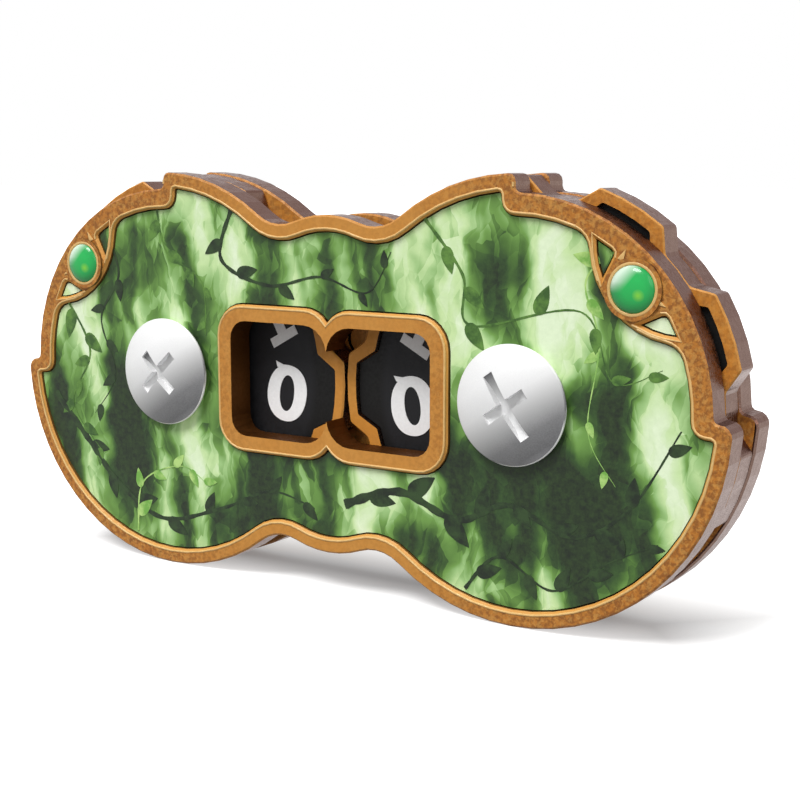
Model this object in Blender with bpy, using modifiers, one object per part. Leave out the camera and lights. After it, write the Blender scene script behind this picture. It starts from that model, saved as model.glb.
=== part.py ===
"""Dial life counter: two lobed dials that turn between two figure-eight shells.

Lengths are in metres and +Z is up. The counter stands on its two lobes and its front faces -Y.
Every piece is drawn lying down, x to the right, y up its face and z towards the viewer, with the
front rim at z = 0 and depths counted behind it, and is then stood upright.
"""

from collections import namedtuple
from math import acos, asin, atan2, ceil, cos, pi, radians, sin, sqrt

import bmesh
import bpy
from mathutils import Matrix, Vector

# Outline of both shells. A share is of the lobe's radius unless its name or note says otherwise
LOBE_RADIUS = 0.0225
NOTCH_DEPTH_SHARE = 0.0822
NOTCH_START = radians(0)
NOTCH_END = radians(90)
STEP_FILLET = 0.0006
SIDE_STEP_ROUND = 0.0012
TOP_STEP_ROUND = 0.0008
WAIST_TOP_SHARE = 0.8067
WAIST_RADIUS_SHARE = 0.5333
WAIST_HOLLOW_SHARE = 0.2222
SHELL_CHAMFER = 0.0002

# Thickness of the layers, front to back
FRONT_THICKNESS = 0.0033
DIAL_CLEARANCE = 0.0003
DIAL_THICKNESS = 0.00335
BACK_CLEARANCE = 0.00015
BACK_THICKNESS = 0.0032

# Raised rim and printed panel
RIM_WIDTH = 0.0017
NOTCH_RIM_WIDTH = 0.0022
RIM_STEP_WIDTH = 0.0016
RIM_STEP_FILLET = 0.0015
RIM_CORNER_ROUND = 0.0003
RIM_BEVEL = 0.0003
PANEL_DEPTH = 0.00095
PANEL_THICKNESS = 0.0004
PANEL_GAP = 0.00015

# Double window with a pair of cusps, and the frame round it
WINDOW_WIDTH_SHARE = 0.5778
WINDOW_HEIGHT_SHARE = 0.2844
WINDOW_CORNER_SHARE = 0.0889
WINDOW_INNER_CORNER_SHARE = 0.1333
WINDOW_CUSP_SHARE = 0.1667
FRAME_SIDE_WIDTH = 0.002
FRAME_LEVEL_WIDTH = 0.0018
FRAME_CORNER_GROWTH = 0.0015
FRAME_INNER_CORNER_GROWTH = 0.0007
FRAME_CUSP_WIDTH = 0.00305

# Tracery at each upper outer corner: a curved strip, a gem and two slits
TRACERY_REACH_SHARE = 1.0489
TRACERY_ANGLE = radians(43.5)
STRIP_RADIUS_SHARE = 0.4133
STRIP_FILLET = 0.0022
STRIP_WIDTH = 0.00075
SLIT_NEAR_ANGLE = radians(19.5)
SLIT_CORNER_ANGLE = radians(35)
SLIT_FAR_ANGLE = radians(45)
SLIT_CORNER_REACH_SHARE = 0.2933
SLIT_CORNER_ROUND = 0.0005
GEM_REACH_SHARE = 0.28
GEM_RADIUS_SHARE = 0.1013
GEM_RISE = 0.0009
GEM_GIRDLE = 0.0009
SOCKET_GAP = 0.00027
BEZEL_WIDTH = 0.0004
BEZEL_HEIGHT = 0.00025

# Dials and their number discs
LOBE_COUNT = 9
LOBE_TIP_GAP = 0.0003
LOBE_HEIGHT = 0.00185
LOBE_TIP_SHARE = 0.48
LOBE_BASE_SHARE = 0.735
LOBE_TIP_ROUND = 0.0005
LOBE_BASE_FILLET = 0.0006
DIAL_CHAMFER = 0.00015
FIELD_TIP_MARGIN = 0.0012
FIELD_VALLEY_MARGIN = 0.0015
FIELD_TIP_SHARE = 0.38
FIELD_BASE_SHARE = 0.64
FIELD_ROUND = 0.00025
FIELD_DEPTH = 0.0005
DISC_THICKNESS = 0.0004
DISC_GAP = 0.00015
LEFT_REST_TURN = radians(-4.1)
RIGHT_REST_TURN = radians(181.4)

# Screws, barrel nuts, bushes, washers and the centre stud
HEAD_RADIUS_SHARE = 0.2698
HEAD_EDGE = 0.00025
HEAD_TAPER = 0.0009
HEAD_FOOT_SHARE = 0.857
HEAD_DOME = 0.0013
CROSS_LENGTH = 0.0066
CROSS_WIDTH = 0.0011
CROSS_DEPTH = 0.0012
LEFT_CROSS_TURN = radians(45)
RIGHT_CROSS_TURN = radians(-54)
SHANK_RADIUS = 0.00145
SHANK_TIP = 0.0004
BARREL_WALL = 0.00065
NUT_HEAD_RADIUS = 0.0045
NUT_HEAD_THICKNESS = 0.001
BUSH_WALL = 0.0009
WASHER_WIDTH = 0.002
WASHER_SEAT_DEPTH = 0.0012
STUD_RADIUS = 0.0018
STUD_HEIGHT_SHARE = 0.198
STUD_LENGTH = 0.0018
STUD_CLEARANCE = 0.0001
STUD_CHAMFER = 0.00015

# Gap at every seat and fit, and how finely curves are cut
SEAT_GAP = 0.0003
OVERRUN = 0.001
CHORD_SAG = 0.000037
TURN_STEPS = 32
HOLE_SEGMENTS = 32
MERGE_DISTANCE = 0.000001
FLAT_ANGLE = radians(0.2)

# Sizes in the plane of the face, which all grow with the lobes
HALF_SPACING = LOBE_RADIUS
NOTCH_RADIUS = LOBE_RADIUS * (1 - NOTCH_DEPTH_SHARE)
WAIST_TOP = WAIST_TOP_SHARE * LOBE_RADIUS
WAIST_RADIUS = WAIST_RADIUS_SHARE * LOBE_RADIUS
WAIST_HOLLOW = WAIST_HOLLOW_SHARE * LOBE_RADIUS
WINDOW_HALF_WIDTH = WINDOW_WIDTH_SHARE * LOBE_RADIUS
WINDOW_HALF_HEIGHT = WINDOW_HEIGHT_SHARE * LOBE_RADIUS
WINDOW_CORNER = WINDOW_CORNER_SHARE * LOBE_RADIUS
WINDOW_INNER_CORNER = WINDOW_INNER_CORNER_SHARE * LOBE_RADIUS
WINDOW_CUSP_HEIGHT = WINDOW_CUSP_SHARE * LOBE_RADIUS
FRAME_HALF_WIDTH = WINDOW_HALF_WIDTH + FRAME_SIDE_WIDTH
FRAME_HALF_HEIGHT = WINDOW_HALF_HEIGHT + FRAME_LEVEL_WIDTH
FRAME_CORNER = WINDOW_CORNER + FRAME_CORNER_GROWTH
FRAME_INNER_CORNER = WINDOW_INNER_CORNER + FRAME_INNER_CORNER_GROWTH
FRAME_CUSP_HEIGHT = WINDOW_CUSP_HEIGHT + FRAME_CUSP_WIDTH
TRACERY_REACH = TRACERY_REACH_SHARE * LOBE_RADIUS
STRIP_RADIUS = STRIP_RADIUS_SHARE * LOBE_RADIUS
SLIT_CORNER_REACH = SLIT_CORNER_REACH_SHARE * LOBE_RADIUS
GEM_REACH = GEM_REACH_SHARE * LOBE_RADIUS
GEM_RADIUS = GEM_RADIUS_SHARE * LOBE_RADIUS
HEAD_RADIUS = HEAD_RADIUS_SHARE * LOBE_RADIUS
HEAD_FOOT = HEAD_FOOT_SHARE * HEAD_RADIUS
STUD_HEIGHT = STUD_HEIGHT_SHARE * LOBE_RADIUS

# Depths behind the front rim
POCKET_FLOOR = PANEL_DEPTH + PANEL_THICKNESS + SEAT_GAP
DIAL_FRONT = FRONT_THICKNESS + DIAL_CLEARANCE
DIAL_BACK = DIAL_FRONT + DIAL_THICKNESS
BACK_FRONT = DIAL_BACK + BACK_CLEARANCE
BACK_FACE = BACK_FRONT + BACK_THICKNESS
DISC_FRONT = DIAL_FRONT + FIELD_DEPTH
DISC_BACK = DISC_FRONT + DISC_THICKNESS
FIELD_FLOOR = DISC_BACK + SEAT_GAP
WASHER_SEAT = BACK_FRONT + WASHER_SEAT_DEPTH
STUD_FRONT = DIAL_BACK + STUD_CLEARANCE
STUD_BACK = STUD_FRONT + STUD_LENGTH
HEAD_UNDERSIDE = PANEL_DEPTH - SEAT_GAP
HEAD_EDGE_FRONT = HEAD_UNDERSIDE - HEAD_TAPER - HEAD_EDGE
HEAD_APEX = HEAD_EDGE_FRONT - HEAD_DOME
NUT_SEAT = BACK_FACE - NUT_HEAD_THICKNESS
NUT_FRONT = FRONT_THICKNESS + 2 * SEAT_GAP

# Radii about a dial's axis, each clear of the one inside it
SHANK_HOLE = SHANK_RADIUS + SEAT_GAP
BARREL_RADIUS = SHANK_HOLE + BARREL_WALL
BUSH_BORE = BARREL_RADIUS + SEAT_GAP
BUSH_RADIUS = BUSH_BORE + BUSH_WALL
DIAL_BORE = BUSH_RADIUS + SEAT_GAP
WASHER_RADIUS = DIAL_BORE + WASHER_WIDTH
DIAL_RADIUS = HALF_SPACING - LOBE_TIP_GAP / 2

# The stand under the part: z = 0 under the lobes, y = 0 half way through the thickness
FRONT_Y = -(HEAD_APEX + BACK_FACE) / 2
CENTRE_Z = LOBE_RADIUS
UPRIGHT = pi / 2
SIDES = {"left": -1, "right": 1}
LOBE_CENTRE = Vector((HALF_SPACING, 0))

Edge = namedtuple("Edge", "inset notch_radius step_shift rounds fillet strip_gap")

COLOURS = {
    "copper": ((0.62, 0.27, 0.07), 0.45, 0.6),
    "print": ((0.16, 0.34, 0.10), 0.5, 0.0),
    "gem": ((0.02, 0.45, 0.16), 0.08, 0.0),
    "screw": ((0.80, 0.80, 0.80), 0.3, 0.9),
    "disc": ((0.02, 0.02, 0.022), 0.6, 0.0),
    "brass": ((0.60, 0.45, 0.20), 0.35, 0.9),
    "nylon": ((0.75, 0.74, 0.70), 0.6, 0.0),
    "felt": ((0.10, 0.10, 0.11), 0.9, 0.0),
}


# Scene, collections and materials

def clear_scene():
    for item in list(bpy.data.objects):
        bpy.data.objects.remove(item, do_unlink=True)


def new_collection(name):
    collection = bpy.data.collections.new(name)
    bpy.context.scene.collection.children.link(collection)
    return collection


def new_material(name):
    colour, roughness, metallic = COLOURS[name]
    material = bpy.data.materials.new(name)
    material.use_nodes = True
    shader = material.node_tree.nodes["Principled BSDF"]
    shader.inputs["Base Color"].default_value = (*colour, 1)
    shader.inputs["Roughness"].default_value = roughness
    shader.inputs["Metallic"].default_value = metallic
    material.diffuse_color = (*colour, 1)
    return material


clear_scene()
PARTS = new_collection("life_counter")
CUTTERS = new_collection("cutters")
MATERIALS = {name: new_material(name) for name in COLOURS}


# Plane geometry for the outlines

def polar(centre, reach, angle):
    return centre + reach * Vector((cos(angle), sin(angle)))


def angle_at(centre, point):
    return atan2(point.y - centre.y, point.x - centre.x)


def arc(centre, radius, start, end, turn=1):
    """Points along an arc between two angles, counter-clockwise for turn 1."""
    sweep = (turn * (end - start)) % (2 * pi)
    count = max(1, ceil(sweep / (2 * acos(1 - CHORD_SAG / radius))))
    return [polar(centre, radius, start + turn * sweep * step / count) for step in range(count + 1)]


def circle(centre, radius):
    angles = [2 * pi * step / HOLE_SEGMENTS for step in range(HOLE_SEGMENTS)]
    return [polar(centre, radius, angle) for angle in angles]


def circles_meet(first, first_radius, second, second_radius, turn=1):
    """The point where two circles cross, on the left of the line between them for turn 1."""
    apart = (second - first).length
    along = (apart ** 2 + first_radius ** 2 - second_radius ** 2) / (2 * apart)
    across = sqrt(first_radius ** 2 - along ** 2)
    unit = (second - first) / apart
    return first + along * unit + turn * across * Vector((-unit.y, unit.x))


def distinct(points):
    """The points of a loop without those that repeat their neighbour."""
    kept = [point for point, before in zip(points, points[-1:] + points[:-1])
            if (point - before).length > MERGE_DISTANCE]
    return kept


def mirrored(points):
    return [Vector((-point.x, point.y)) for point in reversed(points)]


def rounded(corners):
    """A loop from (point, radius) pairs, with an arc at each corner that has a radius."""
    loop = []
    for index, (corner, radius) in enumerate(corners):
        if not radius:
            loop.append(corner)
            continue
        back = (corners[index - 1][0] - corner).normalized()
        ahead = (corners[(index + 1) % len(corners)][0] - corner).normalized()
        half_angle = back.angle(ahead) / 2
        centre = corner + (back + ahead).normalized() * radius / sin(half_angle)
        start = corner + back * radius * cos(half_angle) / sin(half_angle)
        end = corner + ahead * radius * cos(half_angle) / sin(half_angle)
        turn = 1 if back.cross(ahead) < 0 else -1
        loop += arc(centre, radius, angle_at(centre, start), angle_at(centre, end), turn)
    return distinct(loop)


def inset_loop(points, distance):
    """A counter-clockwise loop with every side moved inwards by the same distance."""
    moved = []
    for index, point in enumerate(points):
        back = (point - points[index - 1]).normalized()
        ahead = (points[(index + 1) % len(points)] - point).normalized()
        inwards = Vector((-back.y - ahead.y, back.x + ahead.x)).normalized()
        moved.append(point + inwards * distance / cos(back.angle(ahead) / 2))
    return moved


# Figure-eight outlines

def step_down(angle, outer, inner, corner_round, fillet):
    """Counter-clockwise points where the edge drops from an outer to an inner radius."""
    round_angle = angle - asin(corner_round / (outer - corner_round))
    fillet_angle = angle + asin(fillet / (inner + fillet))
    round_centre = polar(LOBE_CENTRE, outer - corner_round, round_angle)
    fillet_centre = polar(LOBE_CENTRE, inner + fillet, fillet_angle)
    corner = arc(round_centre, corner_round, round_angle, angle + pi / 2)
    return corner + arc(fillet_centre, fillet, angle - pi / 2, fillet_angle + pi, -1)


def step_up(angle, outer, inner, corner_round, fillet):
    """The same step climbed: step_down mirrored about its own line."""
    axis = Vector((cos(angle), sin(angle)))
    down = [point - LOBE_CENTRE for point in step_down(angle, outer, inner, corner_round, fillet)]
    return [LOBE_CENTRE + 2 * point.dot(axis) * axis - point for point in reversed(down)]


def upper_waist(inset):
    """From the lobe over the hollow and up to the middle of the waist."""
    middle = Vector((0, WAIST_TOP - WAIST_RADIUS))
    hollow = circles_meet(middle, WAIST_RADIUS + WAIST_HOLLOW, LOBE_CENTRE,
                          LOBE_RADIUS + WAIST_HOLLOW)
    from_lobe = angle_at(hollow, LOBE_CENTRE)
    to_middle = angle_at(hollow, middle)
    dip = arc(hollow, WAIST_HOLLOW + inset, from_lobe, to_middle, -1)
    return dip + arc(middle, WAIST_RADIUS - inset, angle_at(middle, hollow), pi / 2)


def tracery_centre():
    return polar(LOBE_CENTRE, TRACERY_REACH, TRACERY_ANGLE)


def strip_path(edge, start, end):
    """The notch edge from one step to the other, bulging round the gem's strip."""
    centre = tracery_centre()
    fillet = STRIP_FILLET - edge.strip_gap
    strip = STRIP_RADIUS + edge.strip_gap
    reach = edge.notch_radius - fillet
    first = circles_meet(LOBE_CENTRE, reach, centre, strip + fillet, -1)
    second = circles_meet(LOBE_CENTRE, reach, centre, strip + fillet, 1)
    first_angle = angle_at(LOBE_CENTRE, first)
    second_angle = angle_at(LOBE_CENTRE, second)
    path = arc(LOBE_CENTRE, edge.notch_radius, start, first_angle)
    path += arc(first, fillet, first_angle, angle_at(first, centre))
    path += arc(centre, strip, angle_at(centre, first), angle_at(centre, second), -1)
    path += arc(second, fillet, angle_at(second, centre), second_angle)
    return path + arc(LOBE_CENTRE, edge.notch_radius, second_angle, end)


def figure_eight(edge):
    """The whole closed outline for one edge, counter-clockwise from the bottom."""
    lobe = LOBE_RADIUS - edge.inset
    side_round, top_round = edge.rounds
    down = step_down(NOTCH_START - edge.step_shift, lobe, edge.notch_radius, side_round, edge.fillet)
    up = step_up(NOTCH_END + edge.step_shift, lobe, edge.notch_radius, top_round, edge.fillet)
    top = upper_waist(edge.inset)
    bottom = [Vector((point.x, -point.y)) for point in reversed(top)]
    notch_start = angle_at(LOBE_CENTRE, down[-1])
    notch_end = angle_at(LOBE_CENTRE, up[0])
    half = bottom
    half += arc(LOBE_CENTRE, lobe, angle_at(LOBE_CENTRE, bottom[-1]), -pi / 2)
    half += arc(LOBE_CENTRE, lobe, -pi / 2, angle_at(LOBE_CENTRE, down[0]))
    half += down
    if edge.strip_gap is None:
        half += arc(LOBE_CENTRE, edge.notch_radius, notch_start, notch_end)
    else:
        half += strip_path(edge, notch_start, notch_end)
    half += up
    half += arc(LOBE_CENTRE, lobe, angle_at(LOBE_CENTRE, up[-1]), angle_at(LOBE_CENTRE, top[0]))
    half += top
    return distinct(half + mirrored(half))


def shell_edge():
    rounds = (SIDE_STEP_ROUND, TOP_STEP_ROUND)
    return Edge(0, NOTCH_RADIUS, 0, rounds, STEP_FILLET, None)


def pocket_edge(gap):
    """The inner edge of the rim, or an edge that lies the gap inside it."""
    inset = RIM_WIDTH + gap
    notch_radius = NOTCH_RADIUS - NOTCH_RIM_WIDTH - gap
    shift = (RIM_STEP_WIDTH + gap) / (LOBE_RADIUS - inset)
    rounds = (RIM_CORNER_ROUND - gap, RIM_CORNER_ROUND - gap)
    return Edge(inset, notch_radius, shift, rounds, RIM_STEP_FILLET + gap, gap)


def double_window(half_width, half_height, corner, inner_corner, cusp_height):
    """Two rounded openings side by side, run together between an upper and a lower cusp."""
    inner_level = half_height - inner_corner
    inner = Vector((sqrt(inner_corner ** 2 - (cusp_height - inner_level) ** 2), inner_level))
    outer = Vector((half_width - corner, half_height - corner))
    cusp = Vector((0, cusp_height))
    quarter = arc(inner, inner_corner, angle_at(inner, cusp), pi / 2, -1)
    quarter += arc(outer, corner, pi / 2, 0, -1)
    half = quarter + [Vector((point.x, -point.y)) for point in reversed(quarter)]
    return distinct(half + mirrored(half))


def window_outline():
    return double_window(WINDOW_HALF_WIDTH, WINDOW_HALF_HEIGHT, WINDOW_CORNER,
                         WINDOW_INNER_CORNER, WINDOW_CUSP_HEIGHT)


def frame_outline(gap):
    cusp_level = FRAME_HALF_HEIGHT - FRAME_INNER_CORNER
    offset = FRAME_INNER_CORNER ** 2 - (FRAME_CUSP_HEIGHT - cusp_level) ** 2
    cusp_height = cusp_level + sqrt((FRAME_INNER_CORNER + gap) ** 2 - offset)
    return double_window(FRAME_HALF_WIDTH + gap, FRAME_HALF_HEIGHT + gap, FRAME_CORNER + gap,
                         FRAME_INNER_CORNER + gap, cusp_height)


# Tracery, dial and field outlines

def slit_outline(side, level, gap):
    """One slit beside the gem: side is left or right, level is above or below the gem."""
    centre = tracery_centre()
    inwards = TRACERY_ANGLE + pi
    reach = STRIP_RADIUS - STRIP_WIDTH
    near = inwards + SLIT_NEAR_ANGLE
    far = inwards + SLIT_FAR_ANGLE
    corner = polar(centre, SLIT_CORNER_REACH, inwards + SLIT_CORNER_ANGLE)
    sides = inset_loop(arc(centre, reach, near, far) + [corner], gap)
    radii = [0] * (len(sides) - 1) + [SLIT_CORNER_ROUND]
    loop = rounded(list(zip(sides, radii)))
    if level == "upper":
        along = Vector((cos(TRACERY_ANGLE), sin(TRACERY_ANGLE)))
        loop = [LOBE_CENTRE + 2 * (point - LOBE_CENTRE).dot(along) * along - (point - LOBE_CENTRE)
                for point in reversed(loop)]
    return mirrored(loop) if side == "left" else loop


def gem_centre(side):
    centre = polar(tracery_centre(), GEM_REACH, TRACERY_ANGLE + pi)
    return Vector((SIDES[side] * centre.x, centre.y))


def lobed_loop(tip_radius, valley_radius, tip_share, base_share, tip_round, base_round):
    """A wheel's edge with evenly spaced lobes, the first of them towards +X."""
    pitch = 2 * pi / LOBE_COUNT
    axis = Vector((0, 0))
    corners = []
    for lobe in range(LOBE_COUNT):
        middle = lobe * pitch
        tip = arc(axis, tip_radius, middle - tip_share * pitch / 2, middle + tip_share * pitch / 2)
        valley = arc(axis, valley_radius, middle + base_share * pitch / 2,
                     middle + pitch - base_share * pitch / 2)
        for stretch, radius in ((tip, tip_round), (valley, base_round)):
            radii = [radius] + [0] * (len(stretch) - 2) + [radius]
            corners += zip(stretch, radii)
    return rounded(corners)


def dial_outline():
    return lobed_loop(DIAL_RADIUS, DIAL_RADIUS - LOBE_HEIGHT, LOBE_TIP_SHARE, LOBE_BASE_SHARE,
                      LOBE_TIP_ROUND, LOBE_BASE_FILLET)


def field_outline(gap):
    valley = DIAL_RADIUS - LOBE_HEIGHT - FIELD_VALLEY_MARGIN
    loop = lobed_loop(DIAL_RADIUS - FIELD_TIP_MARGIN, valley, FIELD_TIP_SHARE, FIELD_BASE_SHARE,
                      FIELD_ROUND, FIELD_ROUND)
    return inset_loop(loop, gap) if gap else loop


# Solids

def stand(item, x=0, z=0, spin=0):
    """Stand a piece upright, turned about its own axis, at its place on the face."""
    item.location = (x, FRONT_Y, CENTRE_Z + z)
    item.rotation_euler = (UPRIGHT, -spin, 0)


def finish(item, material):
    PARTS.objects.link(item)
    item.data.materials.clear()
    item.data.materials.append(MATERIALS[material])
    item.data.set_sharp_from_angle(angle=radians(30))
    return item


def as_cutter(item):
    CUTTERS.objects.link(item)
    item.hide_render = True
    item.display_type = "WIRE"
    return item


def plate(name, loops, front, back, chamfer=0, flare=0):
    """A flat piece between two depths, with chamfered edges or with a widened middle."""
    bevel = chamfer or flare
    curve = bpy.data.curves.new(name, "CURVE")
    curve.dimensions = "2D"
    curve.fill_mode = "BOTH"
    curve.extrude = (back - front) / 2 - bevel
    curve.bevel_depth = bevel
    curve.bevel_resolution = 0
    curve.offset = -chamfer
    for loop in loops:
        spline = curve.splines.new("POLY")
        spline.points.add(len(loop) - 1)
        for target, point in zip(spline.points, loop):
            target.co = (point.x, point.y, 0, 1)
        spline.use_cyclic_u = True
    drawing = bpy.data.objects.new(name, curve)
    bpy.context.scene.collection.objects.link(drawing)
    mesh = solid_mesh(drawing)
    mesh.transform(Matrix.Translation((0, 0, -(front + back) / 2)))
    item = bpy.data.objects.new(name, mesh)
    item.matrix_world = drawing.matrix_world
    bpy.data.objects.remove(drawing)
    item.name = name
    stand(item)
    return item


def solid_mesh(drawing):
    """A curve's mesh with its caps welded on and its flat faces made whole."""
    depsgraph = bpy.context.evaluated_depsgraph_get()
    mesh = bpy.data.meshes.new_from_object(drawing.evaluated_get(depsgraph))
    shape = bmesh.new()
    shape.from_mesh(mesh)
    bmesh.ops.remove_doubles(shape, verts=shape.verts, dist=MERGE_DISTANCE)
    bmesh.ops.dissolve_limit(shape, angle_limit=FLAT_ANGLE, verts=shape.verts, edges=shape.edges)
    bmesh.ops.recalc_face_normals(shape, faces=shape.faces)
    shape.to_mesh(mesh)
    shape.free()
    return mesh


def disc(name, centre, radius, front, back):
    """A plain cylinder between two depths."""
    shape = bmesh.new()
    place = Matrix.Translation((centre.x, centre.y, -(front + back) / 2))
    bmesh.ops.create_cone(shape, cap_ends=True, segments=HOLE_SEGMENTS, radius1=radius,
                          radius2=radius, depth=back - front, matrix=place)
    mesh = bpy.data.meshes.new(name)
    shape.to_mesh(mesh)
    shape.free()
    item = bpy.data.objects.new(name, mesh)
    stand(item)
    return item


def turned(name, profile):
    """A solid turned about its own axis, from (radius, depth) pairs."""
    closed = profile[0][0] > 0
    mesh = bpy.data.meshes.new(name)
    edges = [(index, index + 1) for index in range(len(profile) - 1)]
    if closed:
        edges.append((len(profile) - 1, 0))
    mesh.from_pydata([(radius, 0, -depth) for radius, depth in profile], edges, [])
    item = bpy.data.objects.new(name, mesh)
    screw = item.modifiers.new("turn", "SCREW")
    screw.axis = "Z"
    screw.steps = TURN_STEPS
    screw.render_steps = TURN_STEPS
    screw.use_merge_vertices = True
    screw.merge_threshold = MERGE_DISTANCE
    screw.use_smooth_shade = True
    return item


def combine(body, tool, operation):
    modifier = body.modifiers.new(tool.name, "BOOLEAN")
    modifier.operation = operation
    modifier.solver = "EXACT"
    modifier.object = tool


# Front shell: rim, pocket, window, tracery and gem mounts

def front_shell():
    shell = plate("front_shell", [figure_eight(shell_edge())], 0, FRONT_THICKNESS, SHELL_CHAMFER)
    slits = [slit_outline(side, level, 0) for side in SIDES for level in ("upper", "lower")]
    hollows = [figure_eight(pocket_edge(0)), frame_outline(0)] + slits
    pocket = plate("pocket_cutter", hollows, -OVERRUN, POCKET_FLOOR)
    mouth = plate("rim_bevel_cutter", hollows, -OVERRUN, RIM_BEVEL, flare=RIM_BEVEL)
    window = plate("window_cutter", [window_outline()], -OVERRUN, FRONT_THICKNESS + OVERRUN)
    for cutter in (pocket, mouth, window):
        combine(shell, as_cutter(cutter), "DIFFERENCE")
    socket_radius = GEM_RADIUS + SOCKET_GAP
    socket_floor = GEM_GIRDLE + SEAT_GAP
    for side, sign in SIDES.items():
        gem = gem_centre(side)
        bezel = disc(side + "_bezel", gem, socket_radius + BEZEL_WIDTH, -BEZEL_HEIGHT, socket_floor)
        socket = disc(side + "_socket_cutter", gem, socket_radius, -OVERRUN, socket_floor)
        hole = disc(side + "_shank_cutter", Vector((sign * HALF_SPACING, 0)), SHANK_HOLE,
                    -OVERRUN, FRONT_THICKNESS + OVERRUN)
        combine(shell, as_cutter(bezel), "UNION")
        combine(shell, as_cutter(socket), "DIFFERENCE")
        combine(shell, as_cutter(hole), "DIFFERENCE")
    return finish(shell, "copper")


# Back shell: washer seats in front, counterbores for the nuts behind, and the stud's hole

def back_shell():
    shell = plate("back_shell", [figure_eight(shell_edge())], BACK_FRONT, BACK_FACE, SHELL_CHAMFER)
    for side, sign in SIDES.items():
        axis = Vector((sign * HALF_SPACING, 0))
        seat = disc(side + "_washer_seat_cutter", axis, WASHER_RADIUS + SEAT_GAP,
                    BACK_FRONT - OVERRUN, WASHER_SEAT)
        hole = disc(side + "_barrel_cutter", axis, BUSH_BORE, BACK_FRONT, BACK_FACE + OVERRUN)
        counterbore = disc(side + "_nut_cutter", axis, NUT_HEAD_RADIUS + SEAT_GAP,
                           NUT_SEAT - SEAT_GAP, BACK_FACE + OVERRUN)
        for cutter in (seat, hole, counterbore):
            combine(shell, as_cutter(cutter), "DIFFERENCE")
    stud_hole = disc("stud_cutter", Vector((0, STUD_HEIGHT)), STUD_RADIUS + SEAT_GAP,
                     BACK_FRONT - OVERRUN, STUD_BACK + SEAT_GAP)
    combine(shell, as_cutter(stud_hole), "DIFFERENCE")
    return finish(shell, "copper")


# Printed panel and the inlays behind the slits

def art_panel():
    holes = [circle(Vector((sign * HALF_SPACING, 0)), SHANK_HOLE) for sign in SIDES.values()]
    loops = [figure_eight(pocket_edge(PANEL_GAP)), frame_outline(PANEL_GAP)] + holes
    return finish(plate("art_panel", loops, PANEL_DEPTH, PANEL_DEPTH + PANEL_THICKNESS), "print")


def slit_inlay(side, level):
    outline = slit_outline(side, level, PANEL_GAP)
    inlay = plate(side + "_" + level + "_inlay", [outline], PANEL_DEPTH,
                  PANEL_DEPTH + PANEL_THICKNESS)
    return finish(inlay, "print")


# Gems

def gem(side):
    """A cabochon: a flat back, a straight girdle and a domed front."""
    dome_radius = (GEM_RADIUS ** 2 + GEM_RISE ** 2) / (2 * GEM_RISE)
    dome = arc(Vector((0, GEM_RISE - dome_radius)), dome_radius, pi / 2,
               asin((dome_radius - GEM_RISE) / dome_radius), -1)
    profile = [(point.x, -point.y) for point in dome]
    profile[0] = (0, -GEM_RISE)
    profile += [(GEM_RADIUS, GEM_GIRDLE), (0, GEM_GIRDLE)]
    stone = turned(side + "_gem", profile)
    place = gem_centre(side)
    stand(stone, place.x, place.y)
    return finish(stone, "gem")


# Dials and number discs

def dial(side, sign):
    wheel = plate(side + "_dial", [dial_outline(), circle(Vector((0, 0)), DIAL_BORE)],
                  DIAL_FRONT, DIAL_BACK, DIAL_CHAMFER)
    field = plate(side + "_field_cutter", [field_outline(0)], DIAL_FRONT - OVERRUN, FIELD_FLOOR)
    combine(wheel, as_cutter(field), "DIFFERENCE")
    spin = RIGHT_REST_TURN if sign > 0 else LEFT_REST_TURN
    stand(wheel, sign * HALF_SPACING, 0, spin)
    stand(field, sign * HALF_SPACING, 0, spin)
    finish(wheel, "copper")
    face = plate(side + "_number_disc", [field_outline(DISC_GAP), circle(Vector((0, 0)), DIAL_BORE)],
                 DISC_FRONT, DISC_BACK)
    face.parent = wheel
    face.location = (0, 0, 0)
    face.rotation_euler = (0, 0, 0)
    finish(face, "disc")


# Screws, barrel nuts, bushes and washers, all on a dial's axis

def screw_profile():
    dome_radius = (HEAD_RADIUS ** 2 + HEAD_DOME ** 2) / (2 * HEAD_DOME)
    middle = Vector((0, dome_radius + HEAD_APEX))
    dome = arc(middle, dome_radius, -pi / 2, asin((HEAD_DOME - dome_radius) / dome_radius))
    profile = [(point.x, point.y) for point in dome]
    profile[0] = (0, HEAD_APEX)
    tip = NUT_SEAT - SEAT_GAP
    return profile + [
        (HEAD_RADIUS, HEAD_EDGE_FRONT + HEAD_EDGE),
        (HEAD_FOOT, HEAD_UNDERSIDE),
        (SHANK_RADIUS, HEAD_UNDERSIDE),
        (SHANK_RADIUS, tip - SHANK_TIP),
        (SHANK_RADIUS - SHANK_TIP, tip),
        (0, tip),
    ]


def cross_arm(name, turn):
    """One bar of a cross recess, sunk into the dome."""
    shape = bmesh.new()
    bmesh.ops.create_cube(shape, size=1)
    floor = HEAD_APEX + CROSS_DEPTH
    size = (CROSS_LENGTH, CROSS_WIDTH, CROSS_DEPTH + OVERRUN)
    lift = Matrix.Translation((0, 0, size[2] / 2 - floor))
    scale = Matrix.Diagonal((*size, 1))
    bmesh.ops.transform(shape, matrix=Matrix.Rotation(turn, 4, "Z") @ lift @ scale, verts=shape.verts)
    mesh = bpy.data.meshes.new(name)
    shape.to_mesh(mesh)
    shape.free()
    return bpy.data.objects.new(name, mesh)


def dial_screw(side, sign):
    screw = turned(side + "_screw", screw_profile())
    spin = RIGHT_CROSS_TURN if sign > 0 else LEFT_CROSS_TURN
    stand(screw, sign * HALF_SPACING, 0, spin)
    for index in range(2):
        arm = cross_arm(side + "_cross_cutter_" + str(index), index * pi / 2)
        stand(arm, sign * HALF_SPACING, 0, spin)
        combine(screw, as_cutter(arm), "DIFFERENCE")
    finish(screw, "screw")


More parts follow.
